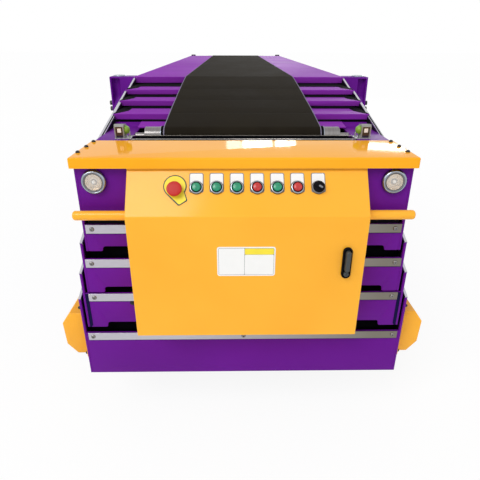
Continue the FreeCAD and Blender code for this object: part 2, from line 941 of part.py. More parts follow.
def jack_leg():
    """Square leg with a foot plate, in the bore of a corner column. Four wear strips at its
    upper end fill its play in the bore."""
    x, y = column_centre()
    half = leg_size / 2
    foot_z = leg_lift - ground_clearance
    top = BASE.level - leg_top_gap - 2 * leg_lift
    leg = block(x - half, x + half, y - half, y + half, foot_z + leg_foot_sheet, top)
    foot = rod(V(x, y, foot_z), ALONG_Z, leg_foot / 2, leg_foot_sheet)
    strips = []
    long = leg_size - 2 * wear_strip_margin
    for dx, dy in ((1, 0), (-1, 0), (0, 1), (0, -1)):
        cx = x + dx * (half + leg_wear_strip / 2)
        cy = y + dy * (half + leg_wear_strip / 2)
        hx = leg_wear_strip / 2 if dx else long / 2
        hy = leg_wear_strip / 2 if dy else long / 2
        strips.append(block(cx - hx, cx + hx, cy - hy, cy + hy, top - wear_strip_length, top))
    return joined(leg, foot, *strips)


def rear_plate():
    """Rear plate of the base with four holes for a feeding conveyor, and the tow lug."""
    y0 = base_rear_y - wall
    top = BASE.level - rear_plate_top_drop
    plate = block(-BASE.inner, BASE.inner, y0, base_rear_y, BASE.bottom, top)
    for side in (-1, 1):
        for rise in (-1, 1):
            start = V(side * flange_spacing_x / 2, y0 - 1, flange_centre_z + rise * flange_spacing_z / 2)
            plate = plate.cut(rod(start, ALONG_Y, flange_hole_radius, wall + 2))
    half = lug_width / 2
    lug = block(-half, half, base_rear_y, base_rear_y + lug_reach,
                lug_z, lug_z + lug_thickness)
    lug = fillet_along(lug, ALONG_Z, half * 0.5, lambda p: p.y > base_rear_y + 1)
    hole = rod(V(0, base_rear_y + lug_reach / 2, lug_z - 1), ALONG_Z, lug_hole_radius, lug_thickness + 2)
    return joined(plate, lug.cut(hole))


def tail_pulley():
    """Tail pulley with its shaft ends against the walls."""
    body = rod_x(belt_width / 2 + nose_roller_overhang, tail_pulley_y(), tail_pulley_z(), tail_pulley_radius)
    return joined(body, rod_x(BASE.inner, tail_pulley_y(), tail_pulley_z(), shaft_radius * 2))


def tail_bearing():
    """Bearing block on the rear top corner of a base wall."""
    y = tail_pulley_y()
    body = block(BASE.half - bearing_size, BASE.half, y - bearing_size / 2, y + bearing_size / 2,
                 BASE.top, BASE.top + bearing_height)
    return fillet_along(body, ALONG_X, bearing_height * 0.4, lambda p: p.z > BASE.top + 1)


# ---------------------------------------------------------------- chassis and wheels

def chassis_frame():
    """Two rails and five cross members under the floor pan, with the castor plates."""
    top = base_pan_height
    rear = base_rear_y - wall
    pieces = []
    for side in (-1, 1):
        x0 = min(side * rail_inner_x, side * (rail_inner_x + rail_width))
        pieces.append(block(x0, x0 + rail_width, chassis_front_y, rear, 0, top))
    middle = (front_wheel_y + rear_wheel_y) / 2
    for y in (chassis_front_y + cross_member / 2, front_wheel_y, middle, rear_wheel_y,
              rear - cross_member / 2):
        pieces.append(block(-BASE.inner, BASE.inner, y - cross_member / 2, y + cross_member / 2, 0, top))
    half = castor_plate_size / 2
    for x in (-wheel_x, wheel_x):
        pieces.append(block(x - half, x + half, front_wheel_y - half, front_wheel_y + half,
                            -castor_plate, 0))
    return joined(*pieces)


def castor_fork(x):
    """Swivel fork of a front castor: race, crown and two legs down to the axle."""
    race_top = -castor_plate - seat_gap
    crown_top = race_top - race_height
    crown_low = crown_top - crown_height
    axle_y = front_wheel_y + castor_trail
    axle_z = wheel_radius - ground_clearance
    half = wheel_width / 2 + run_gap
    race = rod(V(x, front_wheel_y, crown_top), ALONG_Z, race_radius, race_height)
    crown = block(x - half - fork_leg, x + half + fork_leg, front_wheel_y - race_radius,
                  axle_y + fork_leg_width / 2, crown_low, crown_top)
    pieces = [race, crown]
    for side in (-1, 1):
        x0 = x + side * (half + fork_leg / 2) - fork_leg / 2
        leg = prism_x([
            (front_wheel_y - race_radius * 0.6, crown_low),
            (axle_y + fork_leg_width / 2, crown_low),
            (axle_y + fork_leg_width / 2, axle_z - fork_leg_width / 2),
            (axle_y - fork_leg_width / 2, axle_z - fork_leg_width / 2),
        ], x0, x0 + fork_leg)
        pieces.append(leg)
    axle_half = half + fork_leg + castor_axle_overhang
    pieces.append(rod(V(x - axle_half, axle_y, axle_z), ALONG_X, axle_radius, 2 * axle_half))
    return joined(*pieces)


def wheel(x, y):
    """Solid castor wheel: tread, web and hub, bored for its axle."""
    z = wheel_radius - ground_clearance
    half = wheel_width / 2
    tyre = rod(V(x - half, y, z), ALONG_X, wheel_radius, wheel_width)
    rim = [e for e in tyre.Edges if e.Closed]
    tyre = tyre.makeFillet(wheel_width * 0.15, rim)
    dish = wheel_width * 0.22
    for side in (-1, 1):
        start = V(x + side * half, y, z)
        ring = rod(start, ALONG_X * -side, wheel_radius * 0.72, dish)
        ring = ring.cut(rod(start, ALONG_X * -side, wheel_radius * 0.3, dish))
        tyre = tyre.cut(ring)
    return tyre.cut(rod(V(x - half - 1, y, z), ALONG_X, axle_radius + seat_gap, wheel_width + 2))


def rear_axle():
    """Square axle beam on two hangers under the chassis, with a stub for each rear wheel."""
    z = wheel_radius - ground_clearance
    half = rear_axle_size / 2
    beam_half = wheel_x - wheel_width / 2 - run_gap
    beam = block(-beam_half, beam_half, rear_wheel_y - half, rear_wheel_y + half, z - half, z + half)
    pieces = [beam]
    for side in (-1, 1):
        x0 = side * (beam_half - hanger / 2) - hanger / 2
        pieces.append(block(x0, x0 + hanger, rear_wheel_y - 2 * half, rear_wheel_y + 2 * half, z + half, 0))
    stub_half = wheel_x + wheel_width / 2 + run_gap
    pieces.append(rod_x(stub_half + rear_axle_collar, rear_wheel_y, z, axle_radius))
    for side in (-1, 1):
        start = V(side * stub_half, rear_wheel_y, z)
        pieces.append(rod(start, ALONG_X * side, axle_radius * 2, rear_axle_collar))
    return joined(*pieces)


# ---------------------------------------------------------------- the whole machine

def build_stage(stage):
    """Write the pieces that every stage has."""
    right = side_wall(stage)
    save(stage.name + "_wall_right", right)
    save(stage.name + "_wall_left", mirrored(right))
    save(stage.name + "_deck", deck(stage))
    save(stage.name + "_floor_pan", floor_pan(stage))
    if stage is not BOOM_3:
        save(stage.name + "_front_plate", front_plate(stage))
    if stage is not BASE:
        save(stage.name + "_running_gear", running_gear(stage))


def build_base():
    """Write the pieces that only the base has."""
    save("base_roller", support_roller(BASE))
    save("base_belt", base_belt())
    save("tail_pulley", tail_pulley())
    save("tail_bearings", both_sides(tail_bearing()))
    save("rear_plate", rear_plate())
    save("chassis_frame", chassis_frame())
    save("rear_axle", rear_axle())
    save("side_guard_right", side_guard())
    save("side_guard_left", mirrored(side_guard()))
    save("corner_column_right", corner_column())
    save("corner_column_left", mirrored(corner_column()))
    save("jack_leg_right", jack_leg())
    save("jack_leg_left", mirrored(jack_leg()))


def build_wheels():
    """Write the castor forks and the four wheels."""
    for side, x in (("left", -wheel_x), ("right", wheel_x)):
        save("castor_fork_" + side, castor_fork(x))
        save("front_wheel_" + side, wheel(x, front_wheel_y + castor_trail))
        save("rear_wheel_" + side, wheel(x, rear_wheel_y))


def build_nose():
    """Write the pieces of the nose, the cabinet and its door."""
    save("boom_3_front_plates", nose_front_plates())
    save("boom_3_belt", nose_belt())
    save("nose_roller", nose_roller())
    save("transfer_bars", transfer_bars())
    save("side_shelves", both_sides(side_shelf()))
    save("photo_sensors", both_sides(photo_sensor()))
    save("headlamps", both_sides(headlamp()))
    save("lip_cover", lip_cover())
    save("bump_bar", bump_bar())
    save("cabinet_box", cabinet_box())
    save("electrical_panel", electrical_panel())
    save("cabinet_door", cabinet_door())
    save("emergency_stop", emergency_stop())
    save("push_buttons", push_buttons())
    save("selector_switch", selector_switch())
    save("sign_plate", sign_plate())
    save("lock_handle", lock_handle())


for one_stage in STAGES:
    build_stage(one_stage)
save("boom_1_belt", boom_belt(BOOM_1))
save("boom_2_belt", boom_belt(BOOM_2))
build_base()
build_wheels()
build_nose()
print("frame shift", tuple(frame_shift))
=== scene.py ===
import json
import math

import bmesh
import bpy
import numpy as np
from mathutils import Matrix, Vector

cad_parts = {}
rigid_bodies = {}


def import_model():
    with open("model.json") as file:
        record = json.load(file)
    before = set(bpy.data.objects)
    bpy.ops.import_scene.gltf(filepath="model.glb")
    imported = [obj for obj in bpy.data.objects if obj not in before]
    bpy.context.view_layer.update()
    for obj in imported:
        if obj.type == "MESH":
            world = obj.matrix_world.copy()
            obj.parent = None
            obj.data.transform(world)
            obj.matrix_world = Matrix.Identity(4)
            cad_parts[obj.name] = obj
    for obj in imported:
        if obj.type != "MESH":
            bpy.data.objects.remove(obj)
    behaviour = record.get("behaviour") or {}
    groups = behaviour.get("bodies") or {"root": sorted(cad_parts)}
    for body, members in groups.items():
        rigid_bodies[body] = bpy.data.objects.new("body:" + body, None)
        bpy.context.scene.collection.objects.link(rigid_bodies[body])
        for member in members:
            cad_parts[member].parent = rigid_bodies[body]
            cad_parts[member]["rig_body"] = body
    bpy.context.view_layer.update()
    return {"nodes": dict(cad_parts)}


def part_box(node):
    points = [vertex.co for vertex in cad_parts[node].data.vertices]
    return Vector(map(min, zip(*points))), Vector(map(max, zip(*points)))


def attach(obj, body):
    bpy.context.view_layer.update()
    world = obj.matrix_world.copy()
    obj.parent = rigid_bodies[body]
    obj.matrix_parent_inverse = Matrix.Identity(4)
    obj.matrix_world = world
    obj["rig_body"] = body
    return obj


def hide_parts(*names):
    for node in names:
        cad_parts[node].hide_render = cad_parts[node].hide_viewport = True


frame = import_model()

# Mobile telescopic belt conveyor: the finish of every CAD piece, and the sheet-metal trims,
# controls, lamps, rollers and fasteners that are modelled here. Metres, nose towards -Y.

MM = 0.001
STEPS_ROUND = 64
EDGE_ANGLE = 32.0
SAME_POINT = 1e-6


def box_of(node):
    """Lowest and highest corner of a CAD node as numpy arrays."""
    low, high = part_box(node)
    return np.array(low), np.array(high)


# ------------------------------------------------------------------ arrays to meshes


def eased(thing, width, segments, angle):
    """A bevel of a width in metres on every edge sharper than the angle, in degrees."""
    edge = thing.modifiers.new("edges", "BEVEL")
    edge.width = width
    edge.segments = segments
    edge.limit_method = "ANGLE"
    edge.angle_limit = math.radians(angle)
    edge.harden_normals = True


def merged(parts):
    """Several (points, faces) pairs as one pair."""
    points = []
    faces = []
    start = 0
    for part_points, part_faces in parts:
        points.append(np.asarray(part_points, float))
        faces.extend([[i + start for i in f] for f in part_faces])
        start += len(part_points)
    return np.vstack(points), faces


def grid_faces(rows, columns, wrap_columns=True):
    """Quads between the rows of a grid of points, closed across the columns if asked."""
    last = columns if wrap_columns else columns - 1
    i = np.repeat(np.arange(rows - 1), last)
    j = np.tile(np.arange(last), rows - 1)
    k = (j + 1) % columns
    quads = np.stack([i * columns + j, i * columns + k, (i + 1) * columns + k, (i + 1) * columns + j], 1)
    return quads.tolist()


def frame_of(axis):
    """An axis as a unit vector, and two unit vectors square to it and to each other."""
    axis = np.asarray(axis, float)
    axis = axis / np.linalg.norm(axis)
    helper = np.array([1.0, 0, 0]) if abs(axis[0]) < 0.9 else np.array([0, 0, 1.0])
    u = np.cross(helper, axis)
    u = u / np.linalg.norm(u)
    return axis, u, np.cross(axis, u)


def capped(grid):
    """A (rows, columns, 3) grid of points as a tube, closed over its first and last row."""
    rows, columns = grid.shape[:2]
    faces = grid_faces(rows, columns)
    faces.append(list(range(columns)))
    faces.append([(rows - 1) * columns + i for i in range(columns)])
    return grid.reshape(-1, 3), faces


def turned(centre, axis, profile, steps=STEPS_ROUND):
    """A turned shape: each (radius, height) of the profile becomes the circle
    centre + height * axis + radius * (cos t * u + sin t * v). Both ends are closed."""
    axis, u, v = frame_of(axis)
    profile = np.asarray(profile, float)
    t = np.linspace(0, 2 * np.pi, steps, endpoint=False)
    ring = np.cos(t)[:, None] * u + np.sin(t)[:, None] * v
    return capped(np.asarray(centre, float) + profile[:, 1, None, None] * axis
                  + profile[:, 0, None, None] * ring[None])


def corner_arc(before, corner, after, radius, steps):
    """The arc that touches both straight sides of a corner; a nearly straight corner stays a
    point."""
    a = (before - corner) / np.linalg.norm(before - corner)
    b = (after - corner) / np.linalg.norm(after - corner)
    half = math.acos(max(-1.0, min(1.0, float(a @ b)))) / 2
    if half > math.radians(89):
        return corner[None]
    reach = radius / math.tan(half)
    middle = corner + (a + b) / np.linalg.norm(a + b) * radius / math.sin(half)
    first = corner + a * reach - middle
    last = corner + b * reach - middle
    sweep = math.atan2(first[0] * last[1] - first[1] * last[0], first @ last)
    t = np.linspace(0, sweep, steps + 1)
    return middle + np.stack([first[0] * np.cos(t) - first[1] * np.sin(t),
                              first[0] * np.sin(t) + first[1] * np.cos(t)], 1)


def rounded(points, radius, steps=6):
    """A closed outline whose corners are arcs of the given radius."""
    points = np.asarray(points, float)
    threes = zip(np.roll(points, 1, axis=0), points, np.roll(points, -1, axis=0))
    return np.vstack([corner_arc(*three, radius, steps) for three in threes])


def slab(outline, origin, u, v, depth):
    """A plate: the outline's (a, b) pairs become origin + a * u + b * v, carried along the
    depth vector, with both faces closed."""
    outline = np.asarray(outline, float)
    flat = outline[:, :1] * np.asarray(u, float) + outline[:, 1:] * np.asarray(v, float)
    base = np.asarray(origin, float) + flat
    return capped(np.stack([base, base + np.asarray(depth, float)]))


def cuboid(low, high):
    """A box between two corners."""
    low = np.asarray(low, float)
    size = np.asarray(high, float) - low
    outline = [(0, 0), (size[0], 0), (size[0], size[1]), (0, size[1])]
    return slab(outline, low, (1, 0, 0), (0, 1, 0), (0, 0, size[2]))


def both_sides(shape):
    """A shape and its mirror image on the other side of the middle plane."""
    points, faces = shape
    return merged([shape, (np.asarray(points, float) * [-1, 1, 1], [f[::-1] for f in faces])])


def button_head(centre, axis, radius, height, socket=0.45):
    """A domed screw head: a quarter-ellipse profile turned about the axis, with a round
    recess in its middle."""
    t = np.linspace(0, np.pi / 2, 6)
    rim = np.stack([radius * np.cos(t * 0.78), height * np.sin(t)], 1)
    well = radius * socket
    profile = np.vstack([[[radius, 0.0]], rim[1:], [[well, height], [well * 0.98, height * 0.35],
                                                    [0.0001, height * 0.3]]])
    return turned(centre, axis, profile, 18)


def hex_head(centre, axis, radius, height):
    """A hexagon bolt head on a round washer."""
    washer = turned(centre, axis, [(radius * 1.25, 0), (radius * 1.25, height * 0.22),
                                   (0.0001, height * 0.22)], 24)
    head = turned(np.asarray(centre, float) + np.asarray(axis, float) * height * 0.22, axis,
                  [(radius, 0), (radius, height * 0.7), (radius * 0.86, height * 0.78),
                   (0.0001, height * 0.78)], 6)
    return merged([washer, head])


def copy_of(node, material, bevel):
    """The CAD node's own shape with its doubles merged, its flat faces made whole and its
    edges rounded. It stands for the node."""
    source = frame["nodes"][node].data
    work = bmesh.new()
    work.from_mesh(source)
    bmesh.ops.remove_doubles(work, verts=work.verts, dist=SAME_POINT)
    bmesh.ops.dissolve_limit(work, angle_limit=math.radians(1.0), verts=work.verts, edges=work.edges)
    mesh = bpy.data.meshes.new(node + "_finished")
    work.to_mesh(mesh)
    work.free()
    mesh.polygons.foreach_set("use_smooth", np.ones(len(mesh.polygons), bool))
    mesh.materials.append(material)
    thing = bpy.data.objects.new(node + "_finished", mesh)
    bpy.context.scene.collection.objects.link(thing)
    eased(thing, bevel, 2, EDGE_ANGLE)
    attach(thing, frame["nodes"][node]["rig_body"])
    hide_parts(node)
    return thing


# ------------------------------------------------------------------ materials


def colour(hex_text):
    """An sRGB hex colour turned to linear, with alpha 1."""
    out = []
    for i in (0, 2, 4):
        c = int(hex_text[i:i + 2], 16) / 255
        out.append(c / 12.92 if c <= 0.04045 else ((c + 0.055) / 1.055) ** 2.4)
    return (*out, 1.0)


def add(tree, kind, settings=None, inputs=None, links=None):
    """A node of the given kind, with its settings, socket values and incoming links."""
    made = tree.nodes.new(kind)
    for key, value in (settings or {}).items():
        setattr(made, key, value)
    for key, value in (inputs or {}).items():
        made.inputs[key].default_value = value
    for key, socket in (links or {}).items():
        tree.links.new(socket, made.inputs[key])
    return made


def start(name, **sockets):
    """A new material with its shader and the Object coordinates."""
    material = bpy.data.materials.new(name)
    material.use_nodes = True
    tree = material.node_tree
    shader = tree.nodes["Principled BSDF"]
    for key, value in sockets.items():
        shader.inputs[key.replace("_", " ")].default_value = value
    place = add(tree, "ShaderNodeTexCoord").outputs["Object"]
    return material, tree, shader, place


def grain(tree, place, size, detail=3.0, stretch=(1, 1, 1), roughness=0.5):
    """Noise whose cells are about size metres wide, stretched by a factor per axis."""
    scaled = add(tree, "ShaderNodeMapping", None, {"Scale": [1 / (size * s) for s in stretch]},
                 {"Vector": place})
    return add(tree, "ShaderNodeTexNoise", None, {"Scale": 1.0, "Detail": detail, "Roughness": roughness},
               {"Vector": scaled.outputs["Vector"]}).outputs["Fac"]


def between(tree, value, low, high, to_low, to_high):
    """A value carried from one range to another, held at its ends."""
    return add(tree, "ShaderNodeMapRange", None,
               {"From Min": low, "From Max": high, "To Min": to_low, "To Max": to_high},
               {"Value": value}).outputs["Result"]


def mixed(tree, factor, first, second):
    """A colour mix by a factor socket; each side is a colour or a socket."""
    node = add(tree, "ShaderNodeMix", {"data_type": "RGBA"}, None, {0: factor})
    for key, side in ((6, first), (7, second)):
        if isinstance(side, tuple):
            node.inputs[key].default_value = side
        else:
            tree.links.new(side, node.inputs[key])
    return node.outputs[2]


def bumped(tree, shader, height, distance, strength):
    """Bump of a height socket, given in metres, on the shader's normal."""
    bump = add(tree, "ShaderNodeBump", None, {"Distance": distance, "Strength": strength},
               {"Height": height})
    tree.links.new(bump.outputs["Normal"], shader.inputs["Normal"])


def coloured(tree, shader, pattern, low, high, most, first, second):
    """The shader's colour goes from the first to the second, each a hex colour, a colour or a
    socket, as the pattern rises from low to high; most is the share of the second at the top."""
    sides = [colour(side) if isinstance(side, str) else side for side in (first, second)]
    tone = mixed(tree, between(tree, pattern, low, high, 0.0, most), *sides)
    tree.links.new(tone, shader.inputs["Base Color"])
    return tone


def roughened(tree, shader, pattern, low, high, smooth, rough):
    """The shader's roughness goes from smooth to rough as the pattern rises from low to high."""
    tree.links.new(between(tree, pattern, low, high, smooth, rough), shader.inputs["Roughness"])


def axis_value(tree, place, axis):
    """One coordinate of the place vector."""
    return add(tree, "ShaderNodeSeparateXYZ", None, None, {"Vector": place}).outputs[axis]


def coating(name, main, deep, roughness, gloss, patches, smears, spread, peel, depth):
    """A paint film: its tone changes in broad patches, its gloss in smears by a share of the
    roughness, and its orange peel has a width and a depth. All sizes are in metres."""
    material, tree, shader, place = start(name, Roughness=roughness, Specular_IOR_Level=gloss)
    coloured(tree, shader, grain(tree, place, patches, 2.0), 0.35, 0.65, 1.0, deep, main)
    roughened(tree, shader, grain(tree, place, smears, 2.0), 0.3, 0.7, roughness * (1 - spread),
              roughness * (1 + spread))
    bumped(tree, shader, grain(tree, place, peel, 1.0), depth, 0.25)
    return material


def sprayed_enamel(name, main, deep, roughness, gloss):
    """Two-pack enamel sprayed on folded sheet steel: an even colour with faint clouding, and
    a soft orange peel a few millimetres wide in the gloss."""
    return coating(name, main, deep, roughness, gloss, 0.5, 0.4, 0.07, 0.004, 0.00003)


def powder_coat(name, main, deep, roughness, gloss):
    """Gloss powder coat baked on folded sheet steel: fine even orange peel about two
    millimetres across and a slightly deeper tone in broad patches."""
    return coating(name, main, deep, roughness, gloss, 0.35, 0.2, 0.08, 0.0022, 0.00002)


def conveyor_belt():
    """Black PVC belt on woven carcass: a fabric print about 2 mm wide, broad faint patches
    of dust, and a pale band along both sides: the carcass showing at the belt's edges, with a painted
    highlight on those edges."""
    material, tree, shader, place = start("pvc_conveyor_belt", Roughness=0.85, Specular_IOR_Level=0.03)
    sideways = add(tree, "ShaderNodeMath", {"operation": "ABSOLUTE"}, None,
                   {0: axis_value(tree, place, "X")}).outputs[0]
    edge_x = float(box_of("base_belt")[1][0])
    # painted highlight: a pale band along both belt edges, partly the carcass showing there
    pale_edge_and_highlight = between(tree, sideways, edge_x - 0.0044, edge_x - 0.0036, 0.0, 1.0)
    dust = grain(tree, place, 0.16, 4.0, (1.0, 2.5, 1.0), 0.55)
    dark = mixed(tree, between(tree, dust, 0.35, 0.7, 0.0, 1.0), colour("1E1A14"), colour("25211A"))
    tone = mixed(tree, pale_edge_and_highlight, dark, colour("7F7A90"))
    tree.links.new(tone, shader.inputs["Base Color"])
    roughened(tree, shader, dust, 0.3, 0.7, 0.74, 0.86)
    weave = add(tree, "ShaderNodeTexVoronoi", {"distance": "MANHATTAN"}, {"Scale": 1 / 0.002},
                {"Vector": place}).outputs["Distance"]
    bumped(tree, shader, weave, 0.0001, 0.4)
    return material


def brushed_metal(name, main, roughness, along=(40.0, 1.0, 1.0), painted_shade_tone=None):
    """Bright metal brushed along one axis: fine lines that stretch the highlights. A strip
    can be given painted shade, a darker tone towards its right end, the side away from the key light."""
    material, tree, shader, place = start(name, Metallic=1.0, Roughness=roughness)
    lines = grain(tree, place, 0.0009, 3.0, along, 0.6)
    tone = coloured(tree, shader, lines, 0.3, 0.7, 0.35, main, "8C8A90")
    if painted_shade_tone:
        # painted shade: the tone darkens towards +X
        coloured(tree, shader, axis_value(tree, place, "X"), -0.25, 0.5, 1.0, tone, painted_shade_tone)
    roughened(tree, shader, lines, 0.3, 0.7, roughness * 0.8, roughness * 1.25)
    bumped(tree, shader, lines, 0.00006, 0.4)
    return material


def ground_chrome(name, main, roughness):
    """Hard chrome on a ground roller: a near mirror with faint grinding rings around it."""
    material, tree, shader, place = start(name, Metallic=1.0, Roughness=roughness)
    rings = grain(tree, place, 0.0012, 2.0, (1.0, 60.0, 60.0))
    coloured(tree, shader, rings, 0.35, 0.65, 0.3, main, "A8A8AA")
    bumped(tree, shader, rings, 0.00003, 0.3)
    return material


def plated_steel(name, main):
    """Bright zinc plating on pressed steel: mottled crystal patches and a satin gloss."""
    material, tree, shader, place = start(name, Metallic=0.9, Roughness=0.38)
    cells = add(tree, "ShaderNodeTexVoronoi", None, {"Scale": 1 / 0.014}, {"Vector": place})
    patch = axis_value(tree, cells.outputs["Color"], "X")
    coloured(tree, shader, patch, 0.0, 1.0, 0.4, main, "8F9296")
    roughened(tree, shader, patch, 0.0, 1.0, 0.3, 0.48)
    bumped(tree, shader, grain(tree, place, 0.003, 2.0), 0.00008, 0.35)
    return material


def moulded_plastic(name, main, roughness, grain_size=0.0009, coat=0.0, gloss=0.35, even=0.93):
    """Injection-moulded plastic: an even colour with the fine spark grain of its mould."""
    material, tree, shader, place = start(name, Roughness=roughness, Coat_Weight=coat,
                                          Coat_Roughness=0.08, Specular_IOR_Level=gloss)
    base = colour(main)
    darker = tuple(c * even for c in base[:3]) + (1.0,)
    coloured(tree, shader, grain(tree, place, 0.03, 2.0), 0.3, 0.7, 1.0, darker, base)
    bumped(tree, shader, grain(tree, place, grain_size, 2.0), 0.00004, 0.4)
    return material


def glowing_lens(name, main, edge):
    """Tinted lens of a push button that glows faintly: two close tones in soft clouds, and a
    fine grain under a smooth face."""
    material, tree, shader, place = start(name, Roughness=0.3, Coat_Weight=0.25,
                                          Coat_Roughness=0.05, Emission_Strength=0.05)
    tone = coloured(tree, shader, grain(tree, place, 0.006, 2.0), 0.3, 0.7, 1.0, edge, main)
    tree.links.new(tone, shader.inputs["Emission Color"])
    bumped(tree, shader, grain(tree, place, 0.0016, 1.0), 0.00005, 0.4)
    return material


def clear_glass():
    """Pressed lamp glass: a clear thin shell whose faint flutes break up its gloss."""
    material, tree, shader, place = start("pressed_lamp_glass", Roughness=0.05, IOR=1.45, Alpha=0.22)
    shader.inputs["Base Color"].default_value = colour("F4F1EC")
    flutes = add(tree, "ShaderNodeTexWave", {"bands_direction": "X"}, {"Scale": 1 / 0.028, "Distortion": 0.0},
                 {"Vector": place}).outputs["Fac"]
    bumped(tree, shader, flutes, 0.0002, 0.3)
    return material


def solid_tyre():
    """Solid rubber tread: matt charcoal, slightly dusty, with a fine moulded grain."""
    material, tree, shader, place = start("solid_rubber_tread", Roughness=0.7)
    coloured(tree, shader, grain(tree, place, 0.03, 4.0), 0.4, 0.7, 0.5, "232323", "3B3936")
    bumped(tree, shader, grain(tree, place, 0.0015, 3.0), 0.0001, 0.5)
    return material


PURPLE = sprayed_enamel("purple_two_pack_enamel", "691590", "611384", 0.42, 0.08)
# painted sheen: the decks take a lighter copy of the purple enamel, for the pale sheen on their flat tops
LIT_DECK_PURPLE = sprayed_enamel("deck_enamel_painted_sheen", "8B2FAC", "832BA2", 0.5, 0.06)
YELLOW = powder_coat("yellow_powder_coat", "FBB433", "F8AD2D", 0.17, 0.24)
# painted shade: a slightly deeper copy of the yellow for the lip cover, so that its top reads darker
SHADED_LIP_YELLOW = powder_coat("yellow_cover_painted_shade", "FBB02B", "F9AA24", 0.08, 0.05)
BELT = conveyor_belt()
# painted shade: the strips darken towards the right
STRIP = brushed_metal("brushed_steel_strip", "C9C6CE", 0.36, painted_shade_tone="7F7A70")
TRIM = brushed_metal("bright_edge_trim", "CCCCD2", 0.25, (1.0, 30.0, 1.0))
# painted highlight: bright strips on the transfer bars
BAR = brushed_metal("aluminium_painted_highlight", "C9C1B4", 0.3)
CHROME = ground_chrome("ground_chrome_roller", "7A7674", 0.22)
BRIGHT = ground_chrome("bright_plated_ring", "98A2AE", 0.22)
ZINC = plated_steel("zinc_plated_steel", "B4B6B8")
BOLT = moulded_plastic("black_oxide_bolt", "1C1A1A", 0.42, 0.0007)
BLACK = moulded_plastic("black_polyamide", "0F0F14", 0.6, 0.0009, 0.0, 0.05)
FRAME_BLACK = sprayed_enamel("black_chassis_enamel", "26262A", "1C1C20", 0.45, 0.3)
RUBBER = moulded_plastic("black_rubber_cover", "0A0A0E", 0.75, 0.0012, 0.0, 0.02)
LOCK_GREY = moulded_plastic("dark_grey_die_cast", "3A3E3E", 0.34, 0.0008, 0.1)
# painted shade: a blue-black colour for the shaded gaps beside and under the front plates
SHADE_NAVY = moulded_plastic("blue_black_painted_shade", "12103A", 0.6, 0.0012, 0.0, 0.05)
TYRE = solid_tyre()
WHITE = moulded_plastic("white_engraving_laminate", "F0F0EE", 0.5, 0.0009, 0.0, 0.05, 0.98)
GREY = moulded_plastic("grey_moulded_bezel", "77787C", 0.35, 0.0007, 0.2)
RED = moulded_plastic("red_moulded_mushroom", "BE201A", 0.45, 0.0007, 0.02)
STOP_YELLOW = moulded_plastic("yellow_backing_laminate", "F6E13C", 0.4)
STOP_EDGE = moulded_plastic("dark_printed_border", "2C453E", 0.45)
GREEN_LENS = glowing_lens("green_button_lens", "08946A", "067656")
RED_LENS = glowing_lens("red_button_lens", "C4201C", "9C1816")
GLASS = clear_glass()
LIME = moulded_plastic("lime_sensor_cap", "7FA83C", 0.4, 0.0007, 0.08)
SENSOR_GREY = moulded_plastic("grey_sensor_housing", "8E8F8C", 0.42)
CHAMPAGNE = ground_chrome("vacuum_plated_reflector", "D8C4A8", 0.2)
DARK_WINDOW = moulded_plastic("dark_sensor_window", "2A2630", 0.15, 0.0007, 0.8)
GALVANISED = plated_steel("galvanised_mounting_plate", "AEB1B3")
LIGHT_GREY = moulded_plastic("light_grey_device_housing", "B9BBBD", 0.45)


def finish_as(thing):
    """Returns the piece unchanged."""
    return thing


def make(name, shape, material, body, bevel=0.0, stands_for=(), smooth=True, segments=3, angle=EDGE_ANGLE):
    """A finished piece from a (points, faces) pair in metres, riding on a body; the nodes it
    replaces are hidden. A bevel rounds every edge sharper than the angle."""
    points, faces = shape
    mesh = bpy.data.meshes.new(name)
    mesh.from_pydata(np.asarray(points, float).tolist(), [], [list(f) for f in faces])
    mesh.update()
    work = bmesh.new()
    work.from_mesh(mesh)
    bmesh.ops.remove_doubles(work, verts=work.verts, dist=SAME_POINT)
    bmesh.ops.recalc_face_normals(work, faces=work.faces)
    work.to_mesh(mesh)
    work.free()
    mesh.polygons.foreach_set("use_smooth", np.full(len(mesh.polygons), smooth))
    thing = bpy.data.objects.new(name, mesh)
    bpy.context.scene.collection.objects.link(thing)
    mesh.materials.append(material)
    if bevel > 0:
        eased(thing, bevel, segments, angle)
    elif smooth:
        mesh.set_sharp_from_angle(angle=math.radians(angle))
    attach(thing, body)
    if stands_for:
        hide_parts(*stands_for)
    return finish_as(thing)


def refinish(nodes, material, bevel):
    """A finished copy of each CAD node, with its edges rounded by a bevel in millimetres."""
    for node in nodes:
        finish_as(copy_of(node, material, bevel * MM))

# ------------------------------------------------------------------ places, from the CAD boxes


NOSE_Y = float(box_of("lip_cover")[0][1])
BASE_Z = float(box_of("base_wall_left")[0][2])
X_AXIS = np.array([1.0, 0, 0])
Y_AXIS = np.array([0, 1.0, 0])
Z_AXIS = np.array([0, 0, 1.0])
STAGES = ("base", "boom_1", "boom_2", "boom_3")


def at(x, y, z):
    """A point in millimetres, counted from the middle plane, the lip cover's front edge and
    the base's bottom edge."""
    return np.array([x * MM, NOSE_Y + y * MM, BASE_Z + z * MM])


def local(node):
    """A node's two corners in the same millimetres."""
    low, high = box_of(node)
    shift = at(0, 0, 0)
    return (low - shift) / MM, (high - shift) / MM


def span(node):
    """The same box as six numbers: x from and to, y from and to, z from and to."""
    return [float(side) for pair in zip(*local(node)) for side in pair]


def centre_of(node):
    """The middle of the same box, as three numbers."""
    low, high = local(node)
    return [float(side) for side in (low + high) / 2]


def block_mm(x0, x1, y0, y1, z0, z1):
    """A box between two corners in millimetres."""
    return cuboid(at(x0, y0, z0), at(x1, y1, z1))


